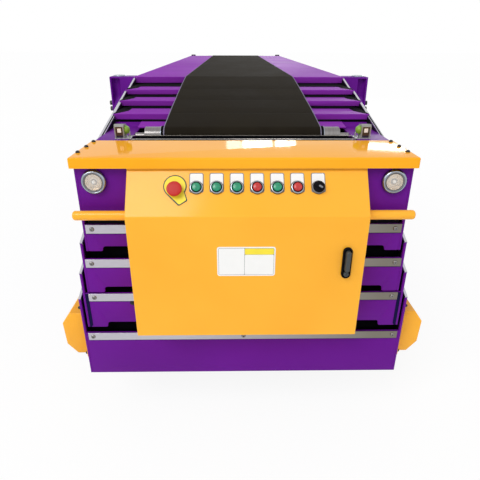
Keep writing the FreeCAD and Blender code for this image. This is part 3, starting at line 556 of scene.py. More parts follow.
def plate_mm(outline, axis, low, high):
    """A plate square to X or Y: its outline is (y, z) pairs for X or (x, z) pairs for Y, and
    it reaches from low to high along that axis. All in millimetres."""
    if axis == "x":
        return slab(np.asarray(outline) * MM, at(low, 0, 0), Y_AXIS, Z_AXIS, X_AXIS * (high - low) * MM)
    return slab(np.asarray(outline) * MM, at(0, low, 0), X_AXIS, Z_AXIS, Y_AXIS * (high - low) * MM)


def rectangle(x0, x1, z0, z1):
    """The corners of a rectangle, in order."""
    return [(x0, z0), (x1, z0), (x1, z1), (x0, z1)]


def turned_mm(centre, axis, profile, steps=STEPS_ROUND):
    """A turned shape whose profile of (radius, height) pairs is in millimetres."""
    return turned(centre, axis, np.asarray(profile, float) * MM, steps)


def ring_mm(centre, axis, profile, steps=STEPS_ROUND):
    """A turned ring: a closed profile of (radius, height) pairs in millimetres goes round
    the axis, so that the ring has a bore."""
    points, faces = turned_mm(centre, axis, list(profile) + [profile[0]], steps)
    return points, faces[:-2]


def in_side_view(pairs, x=0.0):
    """Points from (y, z) pairs, at one distance from the middle plane. All in millimetres."""
    pairs = np.asarray(pairs, float)
    return at(x, 0, 0) + np.column_stack([np.zeros(len(pairs)), pairs]) * MM


def stacked_mm(rings):
    """A grid of points from (outline, y) pairs: each outline of (x, z) pairs stands at its
    own y. All in millimetres."""
    rows = [np.column_stack([ring[:, 0], np.full(len(ring), y), ring[:, 1]]) for ring, y in rings]
    return np.stack(rows) * MM + at(0, 0, 0)


def swept(path, profile):
    """A closed profile carried along a path that lies square to X. At each path point the
    profile's (a, b) becomes point + a * X + b * normal, and the normal is mitred where the
    path bends. All in metres."""
    path = np.asarray(path, float)
    runs = np.diff(path, axis=0)
    runs = runs / np.linalg.norm(runs, axis=1)[:, None]
    normals = np.cross(X_AXIS, runs)
    before = np.vstack([normals[:1], normals])
    after = np.vstack([normals, normals[-1:]])
    middle = before + after
    middle = middle / np.linalg.norm(middle, axis=1)[:, None]
    middle = middle / np.sum(middle * after, axis=1)[:, None]
    profile = np.asarray(profile, float)
    return capped(path[:, None] + profile[None, :, :1] * X_AXIS + profile[None, :, 1:] * middle[:, None])


def bent(path, radius, steps=6):
    """An open path in (y, z) millimetres with its inner corners turned into arcs, as points
    in the middle plane."""
    path = np.asarray(path, float)
    arcs = [corner_arc(*three, radius, steps) for three in zip(path[:-2], path[1:-1], path[2:])]
    return in_side_view(np.vstack([path[:1]] + arcs + [path[-1:]]))


# ------------------------------------------------------------------ folded steel of the boxes


def wall_edge(stage):
    """The upper edge of a wall, from its front corner to the front beam, as (y, z) pairs in
    millimetres read from the CAD mesh."""
    mesh = frame["nodes"][stage + "_wall_right"].data
    flat = np.empty(len(mesh.vertices) * 3)
    mesh.vertices.foreach_get("co", flat)
    pairs = np.unique(np.round((flat.reshape(-1, 3) - at(0, 0, 0))[:, 1:] / MM, 1), axis=0)
    front = pairs[pairs[:, 0] == pairs[0, 0]][-1:]
    middle = pairs[(pairs[:, 0] > pairs[0, 0]) & (pairs[:, 0] < pairs[-1, 0])]
    return np.vstack([front, middle])


def stage_half(stage):
    """Inner and outer distance of a wall from the middle plane, in millimetres."""
    return tuple(span(stage + "_wall_right")[:2])


def screw_row(name, stage, z, xs, face_y):
    """Bright pan-head screws that hold a strip."""
    heads = [button_head(at(x, face_y, z), -Y_AXIS, 8.5 * MM, 4.2 * MM, 0.32) for x in xs]
    return make(name, merged(heads), CHROME, stage)


# top of the foot plate of boom 3, and how far each strip stops short of the walls
GAP_LOW = float(local("boom_3_wall_right")[0][2]) + 100.0
STRIP_GAPS = {"base": 8.0, "boom_1": 13.0, "boom_2": 2.0, "boom_3": 1.5}


def edge_strip(stage, drop, screws):
    """Brushed strip along the upper edge of a front plate: 4 mm thick, with eased edges."""
    node = "boom_3_front_plates" if stage == "boom_3" else stage + "_front_plate"
    low, high = local(node)
    inner = stage_half(stage)[0]
    top = high[2] if stage != "boom_3" else GAP_LOW
    face = low[1]
    end = inner - STRIP_GAPS[stage]
    strip = block_mm(-end, end, face - 4, face, top - drop, top)
    make(stage + "_strip", strip, STRIP, stage, 0.9 * MM)
    # painted shadow: a dark line just under the strip, for the shade below its edge
    shade = block_mm(-end, end, face - 1.2, face, top - drop - 2.6, top - drop + 0.4)
    make(stage + "_strip_painted_shadow_line", shade, SHADE_NAVY, stage)
    middle = [0.0] if stage == "base" else []
    screw_row(stage + "_strip_screws", stage, top - drop / 2, [-screws, screws] + middle, face - 4)


for stage, drop, screws in (("base", 31.4, 572.0), ("boom_1", 31.0, 545.0),
                            ("boom_2", 32.0, 536.0), ("boom_3", 32.0, 518.0)):
    edge_strip(stage, drop, screws)


def plate_edge_painted_shade():
    """Painted shade along both sides of boom 1's front plate, from its strip down to its feet:
    a dark plate 12 mm wide with a slanting foot, for the shaded gap between plate and walls."""
    low, high = local("boom_1_front_plate")
    inner = stage_half("boom_1")[0]
    outline = [(inner - 12, low[2] + 8), (inner - 6, low[2] + 1), (inner - 0.6, low[2] + 1),
               (inner - 0.6, high[2] - 1), (inner - 12, high[2] - 1)]
    return both_sides(plate_mm(outline, "y", low[1] - 1.4, low[1]))


make("boom_1_plate_seals", plate_edge_painted_shade(), SHADE_NAVY, "boom_1", 0.3 * MM)


def wall_trims(stage):
    """Bright channel clipped over the sloping edge of both walls: a thin U section with legs
    7 mm long, mitred at each bend."""
    inner, outer = stage_half(stage)
    edge = wall_edge(stage)
    if stage == "boom_3":
        edge = edge[1:]
    path = in_side_view(edge, (inner + outer) / 2)
    out = (outer - inner) / 2 + 0.9
    into = (outer - inner) / 2 + 0.1
    section = [(-out, -7), (-out, 0.4), (-out + 0.8, 1.3), (out - 0.8, 1.3), (out, 0.4), (out, -7),
               (into, -7), (into, 0.1), (-into, 0.1), (-into, -7)]
    make(stage + "_edge_trims", both_sides(swept(path, np.asarray(section) * MM)), TRIM, stage,
         smooth=False)
    if stage != "boom_3":
        return
    inlay = [(-out + 2.2, 1.0), (-out + 2.2, 1.7), (out - 2.2, 1.7), (out - 2.2, 1.0)]
    make(stage + "_trim_inlays", both_sides(swept(path, np.asarray(inlay) * MM)), BLACK, stage,
         smooth=False)


def wall_liners(stage):
    """Thin black sheet on the inner face of both walls, behind the sloping edges."""
    inner = stage_half(stage)[0]
    edge = wall_edge(stage)
    low, high = local(stage + "_wall_right")
    outline = [(edge[0, 0] + 9, low[2] + 3)]
    outline += [(y + (9 if i == 0 else 3), z - 4.5) for i, (y, z) in enumerate(edge)]
    outline += [(edge[-1, 0] + 130, high[2] - 4.5), (edge[-1, 0] + 130, low[2] + 3)]
    sheet = plate_mm(outline, "x", inner - 1.3, inner - 0.05)
    make(stage + "_wall_liners", both_sides(sheet), BLACK, stage, smooth=False)


for stage in STAGES:
    wall_trims(stage)
    wall_liners(stage)
    refinish([stage + "_wall_left", stage + "_wall_right"], PURPLE, 1.2)
    refinish([stage + "_deck"], LIT_DECK_PURPLE, 1.6)
    refinish([stage + "_floor_pan"], PURPLE, 0.8)
refinish(["base_front_plate", "boom_1_front_plate", "boom_2_front_plate", "boom_3_front_plates"], PURPLE, 1.0)
refinish(["boom_1_running_gear", "boom_2_running_gear", "boom_3_running_gear", "base_roller"], RUBBER, 1.2)
refinish(["side_shelves"], PURPLE, 1.4)
refinish(["rear_plate"], PURPLE, 1.6)
refinish(["chassis_frame"], FRAME_BLACK, 2.5)
refinish(["rear_axle"], FRAME_BLACK, 2.0)
refinish(["castor_fork_left", "jack_leg_left", "castor_fork_right", "jack_leg_right"], ZINC, 1.4)


def beam_of(stage):
    """How far back the front beam of a stage stands, and the height of its deck."""
    return float(wall_edge(stage)[-1, 0]), float(local(stage + "_deck")[1][2])


BELT_EDGE = float(local("base_belt")[1][0])


def wiper_and_painted_shade(stage, following, reach):
    """Black rubber apron under a front beam: a thin sheet that droops from the beam to the
    next deck, on both sides of the belt. Its long reach over the deck paints the shade under the beam."""
    y = beam_of(stage)[0]
    below = beam_of(following)[1]
    outline = [(y + 9, below + 4.6), (y - 2, below + 4.4), (y - 14, below + 2.3), (y - reach, below + 2.1),
               (y - reach, below + 0.9), (y - 15, below + 1.1), (y - 3, below + 3.2), (y + 9, below + 3.4)]
    half = stage_half(following)[1] - 27
    make(stage + "_wiper", both_sides(plate_mm(outline, "x", BELT_EDGE + 6.0, half)), RUBBER, stage, 0.2 * MM)


def deck_edge_painted_shade(stage, behind):
    """Painted shade along both edges of a boom's deck: a thin black sheet, slanted at its front."""
    y, level = beam_of(stage)
    half = stage_half(stage)[1]
    outline = [(half - 0.8, y + 4), (half - 10, y + 4), (half - 34, y + 55), (half - 48, y + 90),
               (half - 50, y + behind), (half - 0.8, y + behind)]
    sheet = slab(np.asarray(outline) * MM, at(0, 0, level + 0.05), X_AXIS, Y_AXIS, Z_AXIS * 0.45 * MM)
    make(stage + "_deck_edge_painted_shadows", both_sides(sheet), RUBBER, stage, smooth=False)


# the aprons' reach paints the shade that each beam throws on the deck below
wiper_and_painted_shade("base", "boom_1", 172.0)
wiper_and_painted_shade("boom_1", "boom_2", 76.0)
wiper_and_painted_shade("boom_2", "boom_3", 52.0)
for stage, behind in (("boom_1", 345.0), ("boom_2", 232.0), ("boom_3", 226.0)):
    deck_edge_painted_shade(stage, behind)


# thickness of the belt, and the gap that it keeps to what it turns round
BELT_THICK = 3.0
BELT_GAP = 0.3


def belt_section(half):
    """The belt's cross section: a flat rectangle with eased corners."""
    return rounded(rectangle(-half, half, 0.0, BELT_THICK), 1.0, 2) * MM


def tail_turn():
    """The belt's way round the tail pulley and a little way back under it, after its flat
    run: half a circle about the pulley's axis."""
    y, z = centre_of("tail_pulley")[1:]
    r = z - span("tail_pulley")[4]
    t = np.linspace(0.0, np.pi, 25)
    arc = np.stack([y + (r + BELT_GAP) * np.sin(t), z + (r + BELT_GAP) * np.cos(t)], 1)
    line = np.vstack([arc, [(y - r, z - r - BELT_GAP)]])
    return in_side_view(line)


# the belt's tip: its height over the next deck in mm, the length in metres over which it
# thins, and the share of its thickness that is left at the end
TIP_RISE = 3.3
FEATHER_LENGTH = 0.075
FEATHER_END = 0.08


def stage_belt(stage, following):
    """Belt of a stage: a flat section carried along the deck and down the ramp. Towards its
    tip the section thins to a feather edge, so that it meets the next belt without a step."""
    low, high = local(stage + "_belt")
    y, level = beam_of(stage)
    next_level = beam_of(following)[1]
    tail = tail_turn() if stage == "base" else np.empty((0, 3))
    rear = float(local("tail_pulley")[0][1]) if stage == "base" else float(high[1])
    curve = bent([(rear, level), (y, level), (float(low[1]), next_level + TIP_RISE)], 90.0, 8)
    ramp_top = curve[-2]
    tip = curve[-1]
    ramp = ramp_top + np.outer(np.linspace(0.55, 1.0, 10), tip - ramp_top)
    path = np.vstack([curve[:-1], ramp])[::-1]
    points, faces = swept(np.vstack([path, tail]), belt_section(float(high[0])))
    near = points[:, 1] < tip[1] + FEATHER_LENGTH
    part = np.clip((points[near, 1] - tip[1]) / FEATHER_LENGTH, 0.0, 1.0)
    centre = np.interp(points[near, 1], path[:, 1], path[:, 2])
    points[near, 2] = centre + (points[near, 2] - centre) * (FEATHER_END + (1 - FEATHER_END) * part)
    return points, faces


for stage, following in (("base", "boom_1"), ("boom_1", "boom_2"), ("boom_2", "boom_3")):
    make(stage + "_belt_run", stage_belt(stage, following), BELT, stage, stands_for=(stage + "_belt",),
         angle=20.0)

# painted shade: a black sheet behind the gap between the lower plate and the lamp panel, for the dark inside
# of boom 3
make("boom_3_gap_painted_shade", block_mm(-531, 531, 33, 35, GAP_LOW - 8, GAP_LOW + 32), BLACK, "boom_3",
     0.4 * MM)
# small dark bolt beside the cabinet on the plate of boom 1
make("boom_1_plate_bolts",
     both_sides(hex_head(at(410, 24, 325), -Y_AXIS, 7 * MM, 6 * MM)), BOLT, "boom_1")


# ------------------------------------------------------------------ nose: lip, roller, bars


def lip_sheet():
    """Folded cover sheet. A path runs along the left side, the front and the right side, with
    small corner arcs; each (inset, z) of a rounded section moves the path inwards and up.
    The outer and inner skins are closed by a flat top, a flat inside and the rear edge."""
    low, high = local("lip_cover")
    corner = 7.0
    fold = 6.0
    sheet = 4.0
    arc = np.linspace(0, np.pi / 2, 7)
    skins = []
    for skin in (0.0, sheet):
        top = high[2] - skin
        r = fold - skin
        section = [(skin, low[2])]
        section += [(skin + r - r * math.cos(t), top - r + r * math.sin(t)) for t in arc]
        skins.append(section)
    rows = []
    for inset, z in skins[0] + skins[1][::-1]:
        r = max(corner - inset, 0.4)
        x = high[0] - inset
        y = low[1] + inset
        t = np.linspace(0, np.pi / 2, 7)
        right = np.stack([x - r + r * np.sin(t), y + r - r * np.cos(t)], 1)
        left = np.stack([-x + r - r * np.cos(t), y + r - r * np.sin(t)], 1)
        line = np.vstack([[(-x, high[1])], left, right, [(x, high[1])]])
        rows.append(np.column_stack([line, np.full(len(line), z)]))
    grid = np.stack(rows)
    count = len(skins[0])
    columns = grid.shape[1]
    points = grid.reshape(-1, 3) * MM + at(0, 0, 0)
    outer = grid_faces(count, columns, False)
    inner = [[i + count * columns for i in f] for f in grid_faces(count, columns, False)]
    total = 2 * count
    faces = outer + inner
    faces.append([(count - 1) * columns + i for i in range(columns)])
    faces.append([count * columns + i for i in range(columns)][::-1])
    bottom_outer = list(range(columns))
    bottom_inner = [(total - 1) * columns + i for i in range(columns)]
    for i in range(columns - 1):
        faces.append([bottom_outer[i], bottom_outer[i + 1], bottom_inner[i + 1], bottom_inner[i]])
    left_end = [r * columns for r in range(total)]
    right_end = [r * columns + columns - 1 for r in range(total)]
    faces.append(left_end[:count] + right_end[:count][::-1] + right_end[count:][::-1] + left_end[count:])
    return points, faces


make("lip_cover_sheet", lip_sheet(), SHADED_LIP_YELLOW, "boom_3", stands_for=("lip_cover",), angle=50.0)

LIP_BOTTOM, LIP_TOP = span("lip_cover")[4:]
LIP_BOLTS = ((-545, 74), (-542, 157), (-541, 240), (541, 78), (540, 160), (538, 240))
lip_bolts = [button_head(at(x, y, LIP_TOP), Z_AXIS, 7.5 * MM, 6.5 * MM) for x, y in LIP_BOLTS]
make("lip_bolts", merged(lip_bolts), BOLT, "boom_3")

ROLLER_Y, ROLLER_Z = centre_of("nose_roller")[1:]
ROLLER_R = ROLLER_Z - span("nose_roller")[4]


def nose_roller():
    """Ground roller tube with chamfered ends, its end discs and its shaft."""
    r = ROLLER_R
    profile = [(12, -424), (12, -385), (r - 6, -385), (r - 5, -384), (r - 1.5, -384), (r, -382.5),
               (r, 382.5), (r - 1.5, 384), (r - 5, 384), (r - 6, 385), (12, 385), (12, 424)]
    return turned_mm(at(0, ROLLER_Y, ROLLER_Z), X_AXIS, profile, 96)


make("nose_roller_tube", nose_roller(), CHROME, "boom_3", stands_for=("nose_roller",))
BELT_HALF = float(local("boom_3_belt")[1][0])
collar = [(ROLLER_R + 0.2, -4), (ROLLER_R + 2.6, -4), (ROLLER_R + 3.1, -3), (ROLLER_R + 3.1, 3),
          (ROLLER_R + 2.6, 4), (ROLLER_R + 0.2, 4)]
make("nose_roller_collars", both_sides(ring_mm(at(BELT_HALF + 5.2, ROLLER_Y, ROLLER_Z), X_AXIS, collar, 96)),
     RUBBER, "boom_3")
band = [(ROLLER_R + 0.2, -1.2), (ROLLER_R + 2.6, -1.0), (ROLLER_R + 2.6, 1.0), (ROLLER_R + 0.2, 1.2)]
make("nose_roller_bands", both_sides(ring_mm(at(BELT_HALF + 11.0, ROLLER_Y, ROLLER_Z), X_AXIS, band, 96)),
     BRIGHT, "boom_3")
refinish(["transfer_bars"], RUBBER, 0.9)
BARS_HALF = float(local("transfer_bars")[1][0])
# painted highlights: bright strips on top of the black transfer bars, for the light lines along them
inlays = [block_mm(-BARS_HALF + 2, BARS_HALF - 2, y, y + 9, LIP_TOP - 0.3, LIP_TOP + 0.5) for y in (283, 352)]
make("transfer_bar_painted_highlights", merged(inlays), BAR, "boom_3", 0.2 * MM)
make("nose_tray", block_mm(-423, 423, 265, ROLLER_Y - ROLLER_R - 10, LIP_TOP - 33, LIP_TOP - 31), BLACK,
     "boom_3", 0.4 * MM)


def shelf_flanges():
    """Folded rear edge of both side shelves: a thin plate that rises backwards to just under
    the front beam."""
    inner = stage_half("boom_3")[0]
    y = beam_of("boom_3")[0]
    back = float(local("side_shelves")[1][1])
    outline = [(back - 2, LIP_TOP), (y - 1, LIP_TOP + 16), (y - 1, LIP_TOP + 14), (back - 2, LIP_TOP - 2)]
    return both_sides(plate_mm(outline, "x", 425.0, inner - 0.5))


def nose_wipers_and_painted_shade():
    """Black rubber strip under the front beam of boom 3: on the slope plate between the
    flanges, and upright beside it. It also paints the shade under the beam."""
    inner = stage_half("boom_3")[0]
    y, level = beam_of("boom_3")
    low = level - 23.0
    flat = plate_mm([(y - 0.5, low + 1.0), (y - 34, low - 2.5), (y - 34, low - 3.3), (y - 0.5, low + 0.1)],
                    "x", BELT_HALF + 2.0, 423.0)
    upright = block_mm(425.0, inner - 0.5, y + 2, y + 4, low - 11, low + 1)
    return both_sides(merged([flat, upright]))


make("shelf_rear_flanges", shelf_flanges(), PURPLE, "boom_3", 0.5 * MM)
make("nose_wiper_strips", nose_wipers_and_painted_shade(), RUBBER, "boom_3", 0.2 * MM)


def nose_belt():
    """Belt of boom 3: a flat section with eased edges carried along the deck, down the ramp,
    round the nose roller and a little way back."""
    belt_high = local("boom_3_belt")[1]
    beam, deck_level = beam_of("boom_3")
    arc = ROLLER_R + BELT_GAP
    along = [(belt_high[1], deck_level), (beam, deck_level)]
    ramp_end = (ROLLER_Y, ROLLER_Z + arc)
    lean = math.atan2(deck_level - ramp_end[1], beam - ramp_end[0])
    t = np.linspace(lean, np.pi, 26)
    around = np.stack([ROLLER_Y - arc * np.sin(t), ROLLER_Z + arc * np.cos(t)], 1)
    curve = bent(along + [tuple(around[0])], 60.0, 6)
    rest = in_side_view(around)
    back = at(0, beam, ROLLER_Z - arc)[None]
    path = np.vstack([curve, rest[1:], back])[::-1]
    return swept(path, belt_section(float(belt_high[0])))


make("boom_3_belt_loop", nose_belt(), BELT, "boom_3", stands_for=("boom_3_belt",))


def photo_sensor_parts():
    """Grey housing with a sloping front frame, dark window with a white mark, lime hood on
    its inner side, foot plate and screw of the light sensor on the right shelf."""
    x1, y = span("photo_sensors")[1:3]
    z, top = span("photo_sensors")[4:]
    x0 = x1 - 36.0
    inner = x1 - 58.0
    tall = (top - z) / 60
    lean = math.atan2(5.5, 46)
    up = np.array([0, -math.sin(lean), math.cos(lean)])
    out = np.array([0, -math.cos(lean), -math.sin(lean)])
    core = [(y + 9, z + 4), (y + 4.5, z + 49 * tall), (y + 11, z + 56 * tall), (y + 43, z + 51 * tall),
            (y + 43, z + 4)]
    cheek = [(y + 4, z + 3), (y, z + 51 * tall), (y + 8, z + 60 * tall), (y + 46, z + 54 * tall),
             (y + 46, z + 3)]
    roof = [(y, z + 50 * tall), (y + 8, z + 60 * tall), (y + 46, z + 54 * tall), (y + 45, z + 50 * tall),
            (y + 9, z + 55 * tall), (y + 3, z + 48 * tall)]
    foot = block_mm(inner, x1, y, y + 50, z, z + 4)
    body = plate_mm(core, "x", x0 + 4, x1 - 4)
    frame_sides = merged([plate_mm(cheek, "x", x0, x0 + 5), plate_mm(cheek, "x", x1 - 5, x1),
                          plate_mm(roof, "x", x0 + 2, x1 - 2)])
    face = at((x0 + x1) / 2, y + 8.6, z + 6)
    pane = rounded(rectangle(-13.5, 13.5, 0, 43 * tall), 2.0, 3) * MM
    window = slab(pane, face, X_AXIS, up, out * 1.2 * MM)
    patch = rounded(rectangle(-7, 7, 20 * tall, 37 * tall), 1.5, 2) * MM
    mark = slab(patch, face + out * 1.2 * MM, X_AXIS, up, out * 0.6 * MM)
    hood_axis = np.array([-0.94, -0.34, 0.0])
    hood_centre = at(x0 + 1, y + 22, z + 35 * tall)
    hood = turned_mm(hood_centre, hood_axis, [(15, 0), (15.5, 3), (15, 9), (12.8, 13.4), (8.6, 16.6),
                                              (4, 18), (0.01, 18.4)], 40)
    collar = ring_mm(hood_centre, hood_axis, [(15, 0.5), (18, 0.5), (18.4, 1.6), (18, 2.8), (15, 2.8)], 40)
    stay = block_mm(inner + 5, inner + 8, y + 20, y + 32, z + 4, z + 24 * tall)
    screw = button_head(at(inner + 13, y + 40, z + 4), Z_AXIS, 4 * MM, 2.5 * MM)
    return merged([foot, stay]), body, merged([frame_sides, collar]), window, mark, hood, screw


foot, body, frame_sides, window, mark, hood, screw = photo_sensor_parts()
make("sensor_brackets", both_sides(foot), ZINC, "boom_3", 0.7 * MM, stands_for=("photo_sensors",))
make("sensor_housings", both_sides(body), GREY, "boom_3", 0.8 * MM)
make("sensor_frames", both_sides(frame_sides), SENSOR_GREY, "boom_3", 0.8 * MM)
make("sensor_windows", both_sides(window), DARK_WINDOW, "boom_3", 0.3 * MM)
make("sensor_marks", both_sides(mark), WHITE, "boom_3", 0.2 * MM)
make("sensor_hoods", both_sides(hood), LIME, "boom_3")
make("sensor_screws", both_sides(screw), BOLT, "boom_3")


def headlamp_parts():
    """Plated ring, dark inner ring, reflector bowl, bulb and domed glass of the right lamp.
    Each is turned about the lamp's axis."""
    low, high = local("headlamps")
    r = float(high[2] - low[2]) / 2
    centre = at(float(high[0]) - r, float(high[1]), float(high[2]) - r)
    rim = turned_mm(centre, -Y_AXIS, [(r, 0), (r, 5), (r - 0.8, 8), (r - 3, 11.5), (r - 6, 14),
                                      (r - 7.5, 14.4), (r - 8.6, 13.8), (r - 9, 12), (r - 9, 4),
                                      (0.01, 4)], 96)
    inner = turned_mm(centre, -Y_AXIS, [(r - 9, 3), (r - 9, 12.6), (r - 10.2, 13.4), (r - 12.4, 12.6),
                                        (r - 12.8, 10), (r - 12.8, 4.6), (0.01, 4.6)], 96)
    bowl = turned_mm(centre, -Y_AXIS, [(27, 3), (27, 11.5), (25.5, 11.2), (23.8, 8.6), (21.5, 9.0),
                                       (19.8, 6.4), (17.2, 6.9), (15.6, 4.6), (12.6, 5.0), (9, 4.2),
                                       (0.01, 4.0)], 96)
    bulb = turned_mm(centre, -Y_AXIS, [(5.5, 4.8), (6, 8), (5, 10.4), (2.6, 11.6), (0.01, 12)], 32)
    glass = turned_mm(centre, -Y_AXIS, [(27.2, 11.4), (27.2, 12.2), (24, 13.5), (17, 14.9), (9, 15.7),
                                        (0.01, 16)], 96)
    return rim, inner, bowl, bulb, glass


rim, inner, bowl, bulb, glass = headlamp_parts()
make("headlamp_rims", both_sides(rim), BRIGHT, "boom_3", stands_for=("headlamps",))
make("headlamp_inner_rings", both_sides(inner), GREY, "boom_3")
make("headlamp_bowls", both_sides(bowl), CHAMPAGNE, "boom_3")
make("headlamp_bulbs", both_sides(bulb), WHITE, "boom_3")
make("headlamp_glasses", both_sides(glass), GLASS, "boom_3")


def bump_bar():
    """Round tube with domed ends, turned about its own axis."""
    half = span("bump_bar")[1]
    y, z = centre_of("bump_bar")[1:]
    r = z - span("bump_bar")[4]
    t = np.linspace(0, np.pi / 2, 8)
    end = np.stack([r - 9 + 9 * np.sin(t), half - 9 + 9 * np.cos(t)], 1)
    profile = np.vstack([[(0.01, half)], end, end[::-1] * [1, -1], [(0.01, -half)]])
    return turned_mm(at(0, y, z), X_AXIS, profile)


make("bump_bar_tube", bump_bar(), YELLOW, "boom_3", stands_for=("bump_bar",))


# ------------------------------------------------------------------ cabinet and door

DOOR_LOW, DOOR_HIGH = local("cabinet_door")
DOOR_FACE = float(DOOR_LOW[1])
DOOR_MID = float(DOOR_LOW[0] + DOOR_HIGH[0]) / 2
DOOR_HALF = float(DOOR_HIGH[0] - DOOR_LOW[0]) / 2
DOOR_BACK = float(DOOR_HIGH[1])
# the door folds so far below the cover, and its slope leans back by so much from there
FOLD_DROP = 133.0
FOLD_REACH = 96.0
LEAN = math.atan2(FOLD_REACH, FOLD_DROP)
FOLD_Z = LIP_BOTTOM - FOLD_DROP
DOWN = np.array([0, -math.sin(LEAN), -math.cos(LEAN)])
OUT = np.array([0, -math.cos(LEAN), math.sin(LEAN)])


def on_door(shape):
    """A shape built about the middle plane, moved to the door's own middle."""
    points, faces = shape
    return np.asarray(points, float) + X_AXIS * DOOR_MID * MM, faces


def door_line(depth):
    """The door's side view at a depth behind its face, as (y, z) pairs: upright, an arc at
    the fold, then the slope up to the plane of the cabinet's back."""
    y = DOOR_FACE + depth
    fold = FOLD_Z + (depth - depth / math.cos(LEAN)) / math.tan(LEAN)
    top = fold + (DOOR_BACK - y) / math.tan(LEAN)
    ends = np.array([(y, float(DOOR_LOW[2])), (DOOR_BACK, top)])
    arc = corner_arc(ends[0], np.array([y, fold]), ends[1], max(9.0 - depth, 0.4), 8)
    return np.vstack([ends[:1], arc, ends[1:]])


def door_shell():
    """A folded door: the closed U section across its width (face, rounded side edges, side
    returns 18 mm deep, sheet 2 mm) is carried up the door's side view. Returns at the bottom
    and the top close the tray."""
    deep = 18.0
    r = 2.6
    t = np.linspace(0, np.pi / 2, 5)
    right = [(DOOR_HALF - r + r * math.sin(a), r - r * math.cos(a)) for a in t]
    left = [(-x, d) for x, d in right[::-1]]
    inside = [(DOOR_HALF - 2, 2.0), (-DOOR_HALF + 2, 2.0)]
    section = left + right + [(DOOR_HALF, deep), (DOOR_HALF - 2, deep)] + inside
    section += [(-DOOR_HALF + 2, deep), (-DOOR_HALF, deep)]
    columns = []
    for x, depth in section:
        line = door_line(depth)
        columns.append(np.column_stack([np.full(len(line), x), line]))
    shell = capped(np.stack(columns, 1) * MM + at(0, 0, 0))
    z0 = float(DOOR_LOW[2])
    floor = block_mm(-DOOR_HALF + 2, DOOR_HALF - 2, DOOR_FACE + 1.5, DOOR_FACE + deep, z0, z0 + 2)
    top_out = door_line(1.0)[-1]
    top_in = door_line(deep)[-1]
    lid_line = [top_out - [3, 4], top_out, top_in, top_in - [3, 2]]
    lid = plate_mm(lid_line, "x", -DOOR_HALF + 2, DOOR_HALF - 2)
    return on_door(merged([shell, floor, lid]))


make("cabinet_door_shell", door_shell(), YELLOW, "door", stands_for=("cabinet_door",), angle=40.0)


def door_seal():
    """Rubber profile round the upright part of the door's inner side: a rounded section
    12 mm wide carried round a rectangle with rounded corners."""
    x = DOOR_HALF - 16
    outer = rounded(rectangle(-x, x, float(DOOR_LOW[2]) + 14, FOLD_Z - 12), 10.0, 5)
    inner = rounded(rectangle(-x + 11, x - 11, float(DOOR_LOW[2]) + 25, FOLD_Z - 23), 4.0, 5)
    rings = [(outer, 2.2), (outer, 12.0), ((outer + inner) / 2, 15.0), (inner, 12.0), (inner, 2.2),
             (outer, 2.2)]
    grid = stacked_mm([(ring, DOOR_FACE + y) for ring, y in rings])
    return on_door((grid.reshape(-1, 3), grid_faces(len(rings), grid.shape[1])))


make("door_seal", door_seal(), RUBBER, "door", angle=60.0)
stiffener = [(-20, 2), (-20, 4), (-12, 4), (-10, 13), (10, 13), (12, 4), (20, 4), (20, 2)]
rib_foot = at(0, 0, float(DOOR_LOW[2]) + 30)
rib = [slab(np.asarray([(x + a, DOOR_FACE + d) for a, d in stiffener]) * MM, rib_foot,
            X_AXIS, Y_AXIS, Z_AXIS * (FOLD_Z - DOOR_LOW[2] - 60) * MM) for x in (-120, 120)]
make("door_stiffeners", on_door(merged(rib)), YELLOW, "door", 0.8 * MM)
refinish(["cabinet_box"], YELLOW, 1.0)


def on_slope(x, drop, lift=0.0):
    """A point on the door's slope: x, a way down from its upper edge, and a height above."""
    return at(x, DOOR_FACE + FOLD_REACH, LIP_BOTTOM) + DOWN * drop * MM + OUT * lift * MM


def slope_plate(outline, low, high):
    """A plate on the slope: its outline is (x, drop) pairs, and it reaches from low to high."""
    depth = OUT * (high - low) * MM
    return slab(np.asarray(outline) * MM, on_slope(0, 0, low), X_AXIS, DOWN, depth)


# places on the slope: a way down from its upper edge, and x from the middle plane
BUTTON_DROP = 67.5
BUTTON_XS = [-154.0 + 64.0 * i for i in range(6)]
SELECTOR_X = 232.5
LEGEND_TOP = 19.0


def legends(xs):
    """Rounded legend plates: a grey printed border with the white field just above it."""
    return [merged([slope_plate(rounded(rectangle(x - half, x + half, LEGEND_TOP + inset,
                                                  LEGEND_TOP + 65 - inset), radius, 5), low, high)
                    for x in xs])
            for half, inset, radius, low, high in ((22.5, 0.0, 6.5, 0.0, 1.5), (20.1, 2.4, 5.0, 1.4, 1.9))]


borders, fields = legends(BUTTON_XS)
make("button_legend_borders", borders, GREY, "door", 0.3 * MM, stands_for=("push_buttons",))
make("button_legends", fields, WHITE, "door", 0.15 * MM)
borders, fields = legends([SELECTOR_X])
make("selector_legend_border", borders, GREY, "door", 0.3 * MM, stands_for=("selector_switch",))
make("selector_legend", fields, WHITE, "door", 0.15 * MM)

BEZEL = [(21.5, 1.6), (21.5, 4.6), (20.8, 6.4), (19.2, 7.6), (17.8, 7.8), (17.2, 7.2), (17.0, 2.4)]
button_spots = [on_slope(x, BUTTON_DROP) for x in BUTTON_XS]
gaskets = [ring_mm(spot, OUT, [(22.4, 1.7), (22.4, 2.8), (16, 2.8), (16, 1.7)])
           for spot in button_spots + [on_slope(SELECTOR_X, BUTTON_DROP)]]
wells = [turned_mm(spot, OUT, [(17.2, 1.8), (17.2, 5.2), (0.01, 5.2)]) for spot in button_spots]
bezels = [ring_mm(spot, OUT, BEZEL) for spot in button_spots]
make("button_gaskets", merged(gaskets + wells), BLACK, "door")
make("button_bezels", merged(bezels), BRIGHT, "door")


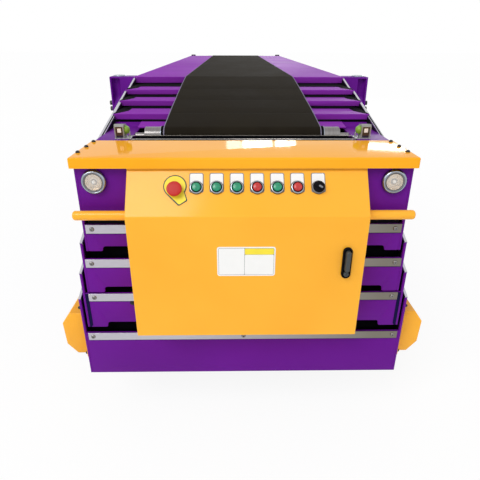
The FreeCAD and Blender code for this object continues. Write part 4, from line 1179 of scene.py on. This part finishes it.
def lens(x):
    """Domed lens with a rounded shoulder, turned about the button's axis."""
    return turned_mm(on_slope(x, BUTTON_DROP), OUT, [(14, 4.8), (14, 9.4), (13.5, 11), (12.2, 12.1),
                                                     (9.4, 13.0), (5.6, 13.6), (0.01, 13.8)])


make("button_lenses_green", merged([lens(BUTTON_XS[i]) for i in (0, 1, 2, 4)]), GREEN_LENS, "door")
make("button_lenses_red", merged([lens(BUTTON_XS[i]) for i in (3, 5)]), RED_LENS, "door")


# the stop button: its backing disc's middle, the two corners of the tail and the angle where
# it leaves the disc, and how far below the disc's middle the head sits
STOP_X = -221.5
STOP_DROP = 63.0
STOP_TAIL = ((12.5, 65.0), (41.0, 47.0))
STOP_TAIL_ANGLE = 33.0
STOP_HEAD_SHIFT = 13.5


def drop_outline(radius, inset):
    """The backing plate's outline as (x, drop) pairs: most of a disc, and a blunt tail whose
    left edge touches the disc and whose end has rounded corners. The inset draws it in."""
    low = np.array(STOP_TAIL[0]) + inset * np.array([0.55, -1.15])
    high = np.array(STOP_TAIL[1]) + inset * np.array([-1.2, -0.45])
    tangent = math.atan2(low[1], low[0]) + math.acos(radius / math.hypot(*low))
    root = math.radians(STOP_TAIL_ANGLE)
    t = np.linspace(tangent, 2 * np.pi + root, 44)
    disc = np.stack([radius * np.cos(t), radius * np.sin(t)], 1)
    tail = rounded([tuple(disc[-1]), tuple(high), tuple(low), tuple(disc[0])], 5.5, 5)
    keep = tail[np.hypot(tail[:, 0], tail[:, 1]) > radius * 1.25]
    return np.vstack([disc, keep]) + np.array([STOP_X, STOP_DROP])


make("stop_border", slope_plate(drop_outline(37.0, 0.0), 0.0, 1.6), STOP_EDGE, "door", 0.3 * MM,
     stands_for=("emergency_stop",))
make("stop_backing", slope_plate(drop_outline(33.6, 3.4), 1.5, 2.3), STOP_YELLOW, "door", 0.2 * MM)
stop_centre = on_slope(STOP_X, STOP_DROP + STOP_HEAD_SHIFT)
make("stop_collar", turned_mm(stop_centre, OUT, [(20, 2.2), (20, 4.2), (19, 5.6), (17, 6.2), (0.01, 6.2)]),
     STOP_YELLOW, "door")
make("stop_neck", turned_mm(stop_centre, OUT, [(14, 5), (14, 13), (0.01, 13)]), BLACK, "door")
make("stop_head", turned_mm(stop_centre, OUT, [
    (16, 12.6), (22.6, 13.0), (23.8, 14.2), (24, 16), (24, 20), (23.2, 22.2), (21.4, 23.6), (18.6, 24.1),
    (17.2, 24.2), (16.6, 23.7), (15.8, 23.7), (15.2, 24.2), (8, 24.4), (0.01, 24.5)], 96), RED, "door")

selector_centre = on_slope(SELECTOR_X, BUTTON_DROP)
make("selector_bezel", ring_mm(selector_centre, OUT, BEZEL), GREY, "door")
make("selector_base", turned_mm(selector_centre, OUT, [
    (17.2, 1.8), (17.2, 7.4), (18.6, 8.2), (19, 9.2), (18.6, 12.6), (17.4, 14.2), (14, 15), (0.01, 15)], 64),
    BLACK, "door")


GRIP_TURN = math.radians(32)


def grip_turned(pairs):
    """(a, b) pairs in the grip's own directions as (x, drop) pairs from the knob's middle."""
    a = pairs[:, 0]
    b = pairs[:, 1]
    return np.stack([a * math.cos(GRIP_TURN) - b * math.sin(GRIP_TURN),
                     a * math.sin(GRIP_TURN) + b * math.cos(GRIP_TURN)], 1)


def selector_grip():
    """The raised grip across the knob: a long rounded outline, turned with the knob, that
    narrows towards its top."""
    ends = rounded(rectangle(-18.4, 18.4, -7.5, 7.5), 6.8, 6)
    rows = []
    for scale, narrow, lift in ((1.0, 1.0, 9.0), (1.0, 1.0, 16.0), (0.98, 0.94, 18.2), (0.93, 0.8, 19.4),
                                (0.88, 0.6, 19.9)):
        spread = grip_turned(ends * [scale, narrow])
        rows.append(selector_centre + (spread @ np.array([X_AXIS, DOWN]) + OUT * lift) * MM)
    return capped(np.stack(rows))


make("selector_grip", selector_grip(), BLACK, "door", angle=40.0)
pointer = grip_turned(rounded(rectangle(-1.5, 12.0, -3.0, 3.0), 2.0, 3)) + [SELECTOR_X, BUTTON_DROP]
make("selector_pointer", slope_plate(pointer, 19.7, 20.5), GREY, "door", 0.2 * MM)


def sign_parts():
    """Rounded plate with a printed grey line, two white fields and a header bar left plain,
    as thin layers on each other."""
    x0, x1 = span("sign_plate")[:2]
    face, z0, z1 = span("sign_plate")[3:]

    def layer(corners, radius, near, far):
        """One rounded layer, from near to far in front of the door."""
        return plate_mm(rounded(rectangle(*corners), radius, 5), "y", face - far, face - near)

    plate = plate_mm(rounded(rectangle(x0, x1, z0, z1), 8.0, 6), "y", face - 1.2, face)
    line = layer((x0 + 4.6, x1 - 4.6, z0 + 4.6, z1 - 4.6), 4.0, 1.1, 1.4)
    left = layer((x0 + 5.6, x0 + 89, z0 + 5.6, z1 - 5.6), 3.0, 1.3, 1.6)
    right = layer((x0 + 90.2, x1 - 5.6, z0 + 5.6, z1 - 28.4), 3.0, 1.3, 1.6)
    header = layer((x0 + 90.2, x1 - 5.6, z1 - 27.4, z1 - 5.6), 3.0, 1.3, 1.6)
    return plate, line, merged([left, right]), header


plate, line, fields, header = sign_parts()
make("sign_plate_blank", plate, WHITE, "door", 0.3 * MM, stands_for=("sign_plate",))
make("sign_line", line, GREY, "door")
make("sign_fields", fields, WHITE, "door")
make("sign_header", header, STOP_YELLOW, "door")


def lock_parts():
    """Swing-handle lock: a rounded dish with a raised rim, the handle that lies in it, and
    the key cylinder at its lower end."""
    x = centre_of("lock_handle")[0]
    face, z0, z1 = span("lock_handle")[3:]
    outer = rounded(rectangle(x - 15, x + 15, z0, z1), 14.0, 8)
    inner = rounded(rectangle(x - 12, x + 12, z0 + 3, z1 - 3), 11.0, 8)
    dish = capped(stacked_mm([(outer, face), (outer, face - 9), (outer * 0.4 + inner * 0.6, face - 11.5),
                              (inner, face - 10), (inner, face - 5)]))
    bar = rounded(rectangle(x - 8, x + 8, z0 + 28, z1 - 8), 7.0, 8)
    slim = rounded(rectangle(x - 6.4, x + 6.4, z0 + 30, z1 - 10), 6.0, 8)
    handle = capped(stacked_mm([(bar, face - 5), (bar, face - 19), (bar * 0.5 + slim * 0.5, face - 22),
                                (slim, face - 23)]))
    key = turned_mm(at(x, face - 5, z0 + 16), -Y_AXIS, [(8.5, 0), (8.5, 8), (7.6, 9.2), (5, 9.6), (4.6, 9),
                                                       (0.01, 9)], 32)
    slot_bar = block_mm(x - 0.7, x + 0.7, face - 14.6, face - 13, z0 + 12.5, z0 + 19.5)
    return dish, handle, key, slot_bar


dish, handle, key, slot_bar = lock_parts()
make("lock_dish", dish, BLACK, "door", stands_for=("lock_handle",), angle=40.0)
make("lock_grip", handle, LOCK_GREY, "door", angle=40.0)
make("lock_cylinder", key, LOCK_GREY, "door")
make("lock_key_slot", slot_bar, BOLT, "door")


# ------------------------------------------------------------------ inside the cabinet

PANEL_X, PANEL_RIGHT = span("electrical_panel")[:2]
PANEL_BACK, PANEL_Z = span("electrical_panel")[3:5]
PANEL_FACE = PANEL_BACK - 3.0


def device(x0, x1, z0, z1, depth, chamfer=3.0):
    """A moulded device: a box whose front has a raised middle part with sloping sides."""
    rings = []
    for inset, out in ((0.0, 0.0), (0.0, depth * 0.6), (chamfer, depth * 0.72), (chamfer, depth - 1.5),
                       (chamfer + 1.5, depth)):
        ring = rounded(rectangle(x0 + inset, x1 - inset, z0 + inset * 3, z1 - inset * 3), 1.5, 2)
        rings.append((ring, PANEL_FACE - out))
    return capped(stacked_mm(rings))


backing = rounded(rectangle(PANEL_X, PANEL_RIGHT, PANEL_Z, PANEL_Z + 330), 6.0, 4)
mounting = plate_mm(backing, "y", PANEL_FACE, PANEL_BACK)
make("panel_mounting_plate", mounting, GALVANISED, "boom_3", 0.5 * MM, stands_for=("electrical_panel",))
drive = device(PANEL_X + 30, PANEL_X + 190, PANEL_Z + 80, PANEL_Z + 300, 34.0, 5.0)
fins = [block_mm(PANEL_X + 44 + i * 11, PANEL_X + 49 + i * 11, PANEL_FACE - 34.6, PANEL_FACE - 30,
                 PANEL_Z + 108, PANEL_Z + 160) for i in range(12)]
make("panel_drive", merged([drive] + fins), GREY, "boom_3", 0.4 * MM)
keypad = plate_mm(rounded(rectangle(PANEL_X + 70, PANEL_X + 150, PANEL_Z + 190, PANEL_Z + 270), 5.0, 4), "y",
                  PANEL_FACE - 34.8, PANEL_FACE - 33)
make("panel_drive_keypad", keypad, BLACK, "boom_3", 0.3 * MM)
breakers = [device(PANEL_X + 230 + i * 54, PANEL_X + 275 + i * 54, PANEL_Z + 215, PANEL_Z + 290, 30.0)
            for i in range(7)]
make("panel_breakers", merged(breakers), LIGHT_GREY, "boom_3")
toggles = [block_mm(PANEL_X + 247 + i * 54, PANEL_X + 258 + i * 54, PANEL_FACE - 30, PANEL_FACE - 28,
                    PANEL_Z + 245, PANEL_Z + 262) for i in range(7)]
make("panel_breaker_toggles", merged(toggles), BLACK, "boom_3", 0.4 * MM)
relays = [device(PANEL_X + 230 + i * 76, PANEL_X + 292 + i * 76, PANEL_Z + 110, PANEL_Z + 180, 26.0)
          for i in range(5)]
make("panel_relays", merged(relays), BLACK, "boom_3")
strips = [block_mm(PANEL_X + 30 + i * 10.5, PANEL_X + 38.6 + i * 10.5, PANEL_FACE - 20, PANEL_FACE,
                   PANEL_Z + 20, PANEL_Z + 56) for i in range(57)]
make("panel_terminals", merged(strips), LIGHT_GREY, "boom_3", 0.5 * MM, segments=1)


# ------------------------------------------------------------------ base: guards, columns, tail

COLUMN_LOW, COLUMN_HIGH = local("corner_column_right")
refinish(["side_guard_left", "side_guard_right"], YELLOW, 2.2)

WALL_OUT = stage_half("base")[1]
guard_bolts = [button_head(at(WALL_OUT + 3.6, 40, z), X_AXIS, 6.5 * MM, 9 * MM) for z in (295, 86)]
guard_bolts += [button_head(at(WALL_OUT - 0.2, 640, z), X_AXIS, 6.5 * MM, 5 * MM) for z in (222, 86)]
make("guard_bolts", both_sides(merged(guard_bolts)), BOLT, "base")
tab = slab(rounded(rectangle(28, 82, 72, 100), 6.0, 4) * MM, at(WALL_OUT, 0, 0), Y_AXIS, Z_AXIS,
           X_AXIS * 3.6 * MM)
make("guard_tabs", both_sides(tab), YELLOW, "base", 0.6 * MM)

# the column's bolts and its cap stand out of it by so much
COLUMN_BOLT = 25.0
COLUMN_CAP = 6.0
# the steel between the column's outer side and its pocket, and half the pocket's width
COLUMN_WEB = 11.0
POCKET_HALF = 23.0
COLUMN_OUT = float(COLUMN_HIGH[0]) - COLUMN_BOLT
COLUMN_X = COLUMN_OUT - 48.5
POCKET_X = COLUMN_OUT - COLUMN_WEB - POCKET_HALF
COLUMN_Y = float(COLUMN_LOW[1])
COLUMN_TOP = float(COLUMN_HIGH[2]) - COLUMN_CAP
# in metres: what reaches further than this past the column is part of a bolt or of the cap
HAIR = 0.0004


def corner_post(side):
    """The CAD column without its cross bolts and its cap, with rounded edges."""
    thing = copy_of("corner_column_" + side, PURPLE, 3.0 * MM)
    work = bmesh.new()
    work.from_mesh(thing.data)
    edge = COLUMN_OUT * MM + HAIR
    top = at(0, 0, COLUMN_TOP)[2] + HAIR
    spare = [v for v in work.verts if abs(v.co.x) > edge or v.co.z > top]
    bmesh.ops.delete(work, geom=spare, context="VERTS")
    bmesh.ops.holes_fill(work, edges=work.edges, sides=200)
    bmesh.ops.recalc_face_normals(work, faces=work.faces)
    work.to_mesh(thing.data)
    work.free()
    return finish_as(thing)


for side in ("left", "right"):
    corner_post(side)


def pocket_channel():
    """Half-round channel in the column's pocket: each level is half an ellipse, and its depth
    falls to nothing where the sloping floor comes out of the face."""
    z = np.concatenate([np.linspace(COLUMN_TOP - 10.5, COLUMN_TOP - 108, 10),
                        np.linspace(COLUMN_TOP - 112, COLUMN_TOP - 156, 6)])
    part = np.clip((COLUMN_TOP - 110 - z) / 46, 0.0, 1.0)
    deep = 26.5 * (1 - part)
    t = np.linspace(0, np.pi, 17)
    x = np.tile(POCKET_X + 22.6 * np.cos(t), (len(z), 1))
    y = COLUMN_Y + 0.6 + deep[:, None] * np.sin(t)
    grid = np.stack([x, y, np.broadcast_to(z[:, None], x.shape)], 2)
    return grid.reshape(-1, 3) * MM + at(0, 0, 0), grid_faces(len(z), len(t), False)


make("column_pocket_channels", both_sides(pocket_channel()), PURPLE, "base", angle=60.0)
cap_profile = [(35, 0), (35, 3.6), (34, 5), (32, 5.8), (28, 6), (27, 5.2), (0.01, 5)]
cap = turned_mm(at(COLUMN_X, COLUMN_Y + 55, COLUMN_TOP), Z_AXIS, cap_profile)
make("column_caps", both_sides(cap), BRIGHT, "base")
bolts = [hex_head(at(COLUMN_OUT, COLUMN_Y + 55, COLUMN_TOP - drop), X_AXIS, 14 * MM, COLUMN_BOLT * MM)
         for drop in (150, 183)]
make("column_bolts", both_sides(merged(bolts)), BOLT, "base")

TAIL_Y, TAIL_Z = centre_of("tail_pulley")[1:]
make("tail_pulley_drum", turned_mm(at(0, TAIL_Y, TAIL_Z), X_AXIS, [
    (24, -592), (24, -385), (44, -385), (46.6, -384), (48, -382), (48, 382), (46.6, 384), (44, 385),
    (24, 385), (24, 592)], 96), RUBBER, "base", stands_for=("tail_pulley",))


def pillow_block():
    """Cast bearing housing: an arched outline with two feet, and a boss round the bore."""
    x1 = span("tail_bearings")[1]
    x0 = x1 - 60
    y = centre_of("tail_bearings")[1]
    z = span("tail_bearings")[4]
    t = np.linspace(np.pi * 0.95, np.pi * 0.05, 15)
    arch = np.stack([y + 19 * np.cos(t), z + 8 + 11.5 * np.sin(t)], 1)
    outline = np.vstack([[(y - 30, z), (y - 30, z + 7), (y - 22, z + 8)], arch,
                         [(y + 22, z + 8), (y + 30, z + 7), (y + 30, z)]])
    body = plate_mm(outline, "x", x0 + 8, x1 - 2)
    boss = turned_mm(at(x0 + 3, y, z + 10), X_AXIS, [(7.6, 0), (9.2, 2), (9.2, 53), (7.6, 55), (5, 55),
                                                    (5, 50), (0.01, 50)], 40)
    return merged([body, boss])


make("tail_bearing_housings", both_sides(pillow_block()), BLACK, "base", 1.4 * MM,
     stands_for=("tail_bearings",))
bearing_x = span("tail_bearings")[1] - 30
bearing_foot = span("tail_bearings")[4] + 7
feet = [hex_head(at(bearing_x, TAIL_Y + way * 25.5, bearing_foot), Z_AXIS, 5 * MM, 5 * MM)
        for way in (-1, 1)]
make("tail_bearing_bolts", both_sides(merged(feet)), ZINC, "base")


# ------------------------------------------------------------------ wheels


RIVETS = 6


def wheel_parts(node):
    """Solid tread with rounded shoulders, a dished cast hub with a bore, a sealed bearing cap
    on each side, all turned about the axle, and six hollow rivets on each side of the hub."""
    low, high = local(node)
    r = float(high[2] - low[2]) / 2
    half = float(high[0] - low[0]) / 2
    centre = at(*((low + high) / 2))
    tread = [(r * 0.72, -half + 1), (r * 0.86, -half + 0.3), (r * 0.93, -half + 1), (r * 0.975, -half + 3),
             (r - 0.4, -half + 7), (r, -half + 11), (r, half - 11), (r - 0.4, half - 7),
             (r * 0.975, half - 3), (r * 0.93, half - 1), (r * 0.86, half - 0.3), (r * 0.72, half - 1)]
    hub = [(12.4, -half), (24, -half), (26, -half + 1.5), (27, -half + 9), (30, -half + 10.5),
           (r * 0.58, -half + 12), (r * 0.66, -half + 9), (r * 0.69, -half + 1.6), (r * 0.73, -half + 1.6)]
    hub = hub + [(a, -b) for a, b in hub[::-1]]
    make(node + "_tread", ring_mm(centre, X_AXIS, tread, 96), TYRE, node, stands_for=(node,))
    make(node + "_hub", ring_mm(centre, X_AXIS, hub, 96), ZINC, node, angle=40.0)
    seal = [(12.6, half - 1), (12.6, half), (21, half), (22, half - 1)]
    seals = [ring_mm(centre, X_AXIS, seal, 48), ring_mm(centre, -X_AXIS, seal, 48)]
    make(node + "_seals", merged(seals), RUBBER, node)
    rivets = []
    for k in range(RIVETS):
        a = 2 * math.pi * k / RIVETS
        spot = centre + np.array([0, math.cos(a), math.sin(a)]) * r * 0.45 * MM
        for way in (-1, 1):
            seat = spot + X_AXIS * way * (half - 11.5) * MM
            rivets.append(ring_mm(seat, X_AXIS * way, [(5.5, -2), (5.5, 1.2), (8, 1.2), (8.6, -2)], 16))
            rivets.append(turned_mm(seat, X_AXIS * way, [(5.6, -2), (5.6, 0.4), (0.01, 0.4)], 16))
    make(node + "_hub_rivets", merged(rivets), ZINC, node)


for side in ("left", "right"):
    wheel_parts("front_wheel_" + side)
    wheel_parts("rear_wheel_" + side)
    axle_y, axle_z = centre_of("front_wheel_" + side)[1:]
    nuts = [hex_head(at(x - way * 4, axle_y, axle_z), X_AXIS * way, 11 * MM, 7 * MM)
            for x, way in zip(span("castor_fork_" + side)[:2], (-1, 1))]
    make("castor_nuts_" + side, merged(nuts), BOLT, "castor_" + side)
    leg_x, leg_y = centre_of("jack_leg_" + side)[:2]
    leg_foot = span("jack_leg_" + side)[4]
    pad = [(41, 0.0), (44.4, 0.6), (44.9, 3), (44.9, 9), (43, 11.6), (34, 12.4)]
    make("jack_foot_pad_" + side, turned_mm(at(leg_x, leg_y, leg_foot), Z_AXIS, pad), RUBBER,
         "jack_leg_" + side)


# ------------------------------------------------------------------ floor, light, camera


def plain_view(tree):
    """One for camera, glossy and transmission rays, and zero for the rest."""
    path = add(tree, "ShaderNodeLightPath")
    seen = add(tree, "ShaderNodeMath", {"operation": "MAXIMUM"}, None,
               {0: path.outputs["Is Camera Ray"], 1: path.outputs["Is Glossy Ray"]})
    return add(tree, "ShaderNodeMath", {"operation": "MAXIMUM"}, None,
               {0: seen.outputs[0], 1: path.outputs["Is Transmission Ray"]}).outputs[0]


FLOOR_HALF = 60.0


def studio_floor(brighten):
    """Pale painted floor with a faint roller texture. What the camera sees of it is carried
    part of the way to white, and the soft shadow under the machine stays."""
    material, tree, shader, place = start("pale_painted_floor", Roughness=0.9, Specular_IOR_Level=0.0)
    coloured(tree, shader, grain(tree, place, 0.8, 3.0), 0.3, 0.7, 1.0, "FAFAFB", "FEFEFE")
    bumped(tree, shader, grain(tree, place, 0.004, 2.0), 0.0001, 0.2)
    glow = add(tree, "ShaderNodeEmission", None, {"Color": (1.0, 1.0, 1.0, 1.0), "Strength": 1.0})
    share = between(tree, plain_view(tree), 0.0, 1.0, 0.0, brighten)
    both = add(tree, "ShaderNodeMixShader", None, None,
               {0: share, 1: shader.outputs[0], 2: glow.outputs[0]})
    tree.links.new(both.outputs[0], tree.nodes["Material Output"].inputs["Surface"])
    mesh = bpy.data.meshes.new("studio_floor")
    corners = rectangle(-FLOOR_HALF, FLOOR_HALF, -FLOOR_HALF, FLOOR_HALF)
    mesh.from_pydata([(x, y, 0.0) for x, y in corners], [], [(0, 1, 2, 3)])
    mesh.materials.append(material)
    ground = bpy.data.objects.new("studio_floor", mesh)
    bpy.context.scene.collection.objects.link(ground)


def studio_world(ambient):
    """White to camera, glossy and transmission rays, and a plain soft light to the rest."""
    world = bpy.data.worlds.new("studio")
    world.use_nodes = True
    tree = world.node_tree
    strength = between(tree, plain_view(tree), 0.0, 1.0, ambient, 1.0)
    backdrop = tree.nodes["Background"]
    backdrop.inputs["Color"].default_value = (1.0, 1.0, 1.0, 1.0)
    tree.links.new(strength, backdrop.inputs["Strength"])
    bpy.context.scene.world = world


def soft_sun(name, strength, angle, elevation, azimuth):
    """A wide sun: elevation above the floor, azimuth counted from -Y towards +X, degrees."""
    lamp = bpy.data.lights.new(name, "SUN")
    lamp.energy = strength
    lamp.angle = math.radians(angle)
    holder = bpy.data.objects.new(name, lamp)
    e = math.radians(elevation)
    a = math.radians(azimuth)
    toward = Vector((math.cos(e) * math.sin(a), -math.cos(e) * math.cos(a), math.sin(e)))
    holder.rotation_euler = toward.to_track_quat("Z", "Y").to_euler()
    bpy.context.scene.collection.objects.link(holder)


def softbox(name, centre, aim, width, height, power):
    """A flat lamp that lights surfaces and shows in reflections, but not to the camera itself."""
    lamp = bpy.data.lights.new(name, "AREA")
    lamp.shape = "RECTANGLE"
    lamp.size = width
    lamp.size_y = height
    lamp.energy = power
    holder = bpy.data.objects.new(name, lamp)
    holder.location = centre
    holder.rotation_euler = (Vector(centre) - Vector(aim)).to_track_quat("Z", "Y").to_euler()
    holder.visible_camera = False
    bpy.context.scene.collection.objects.link(holder)


CAMERA_SPOT = (-0.0377, -3.9722, 1.4448)
CAMERA_PAN, CAMERA_TILT, CAMERA_ROLL = (math.radians(angle) for angle in (-0.95, 65.53, 0.18))
WINDOW_Y = 8.0
WINDOW_REACH = 12.0
GLARE_REACH = 1.48

studio_floor(0.9)
studio_world(0.55)
soft_sun("key_light", 1.45, 30.0, 48.0, -38.0)
soft_sun("fill_light", 0.25, 60.0, 35.0, 45.0)

# Four windows hang behind the machine, WINDOW_REACH metres from the camera. They are as high
# as it takes for the flat top of the cover to mirror them GLARE_REACH metres from the camera.
cover_top = BASE_Z + LIP_TOP * MM
eye_height = CAMERA_SPOT[2] - cover_top
window_z = cover_top + WINDOW_REACH * eye_height / GLARE_REACH - eye_height
for name, x, aim_x, width, power in (("window_left", -0.04, -0.04, 0.42, 3.2),
                                     ("window_middle", 0.65, 0.65, 0.86, 20.0),
                                     ("window_centre", 1.47, 1.47, 0.58, 14.0),
                                     ("window_right", 4.33, 2.7, 1.36, 33.0)):
    softbox(name, (x, WINDOW_Y, window_z), (aim_x, -2.5, 1.0), width, 0.6, power)
softbox("side_light", (-3.2, -4.6, 2.9), (-0.4, -2.6, 0.7), 1.8, 1.8, 20.0)

camera_data = bpy.data.cameras.new("camera")
camera_data.lens = 32.89
camera_data.sensor_width = 36.0
camera = bpy.data.objects.new("camera", camera_data)
camera.location = CAMERA_SPOT
aim = (Matrix.Rotation(CAMERA_PAN, 3, "Z") @ Matrix.Rotation(CAMERA_TILT, 3, "X")
       @ Matrix.Rotation(CAMERA_ROLL, 3, "Z"))
camera.rotation_euler = aim.to_euler()
bpy.context.scene.collection.objects.link(camera)
bpy.context.scene.camera = camera
bpy.context.scene.view_settings.view_transform = "Standard"
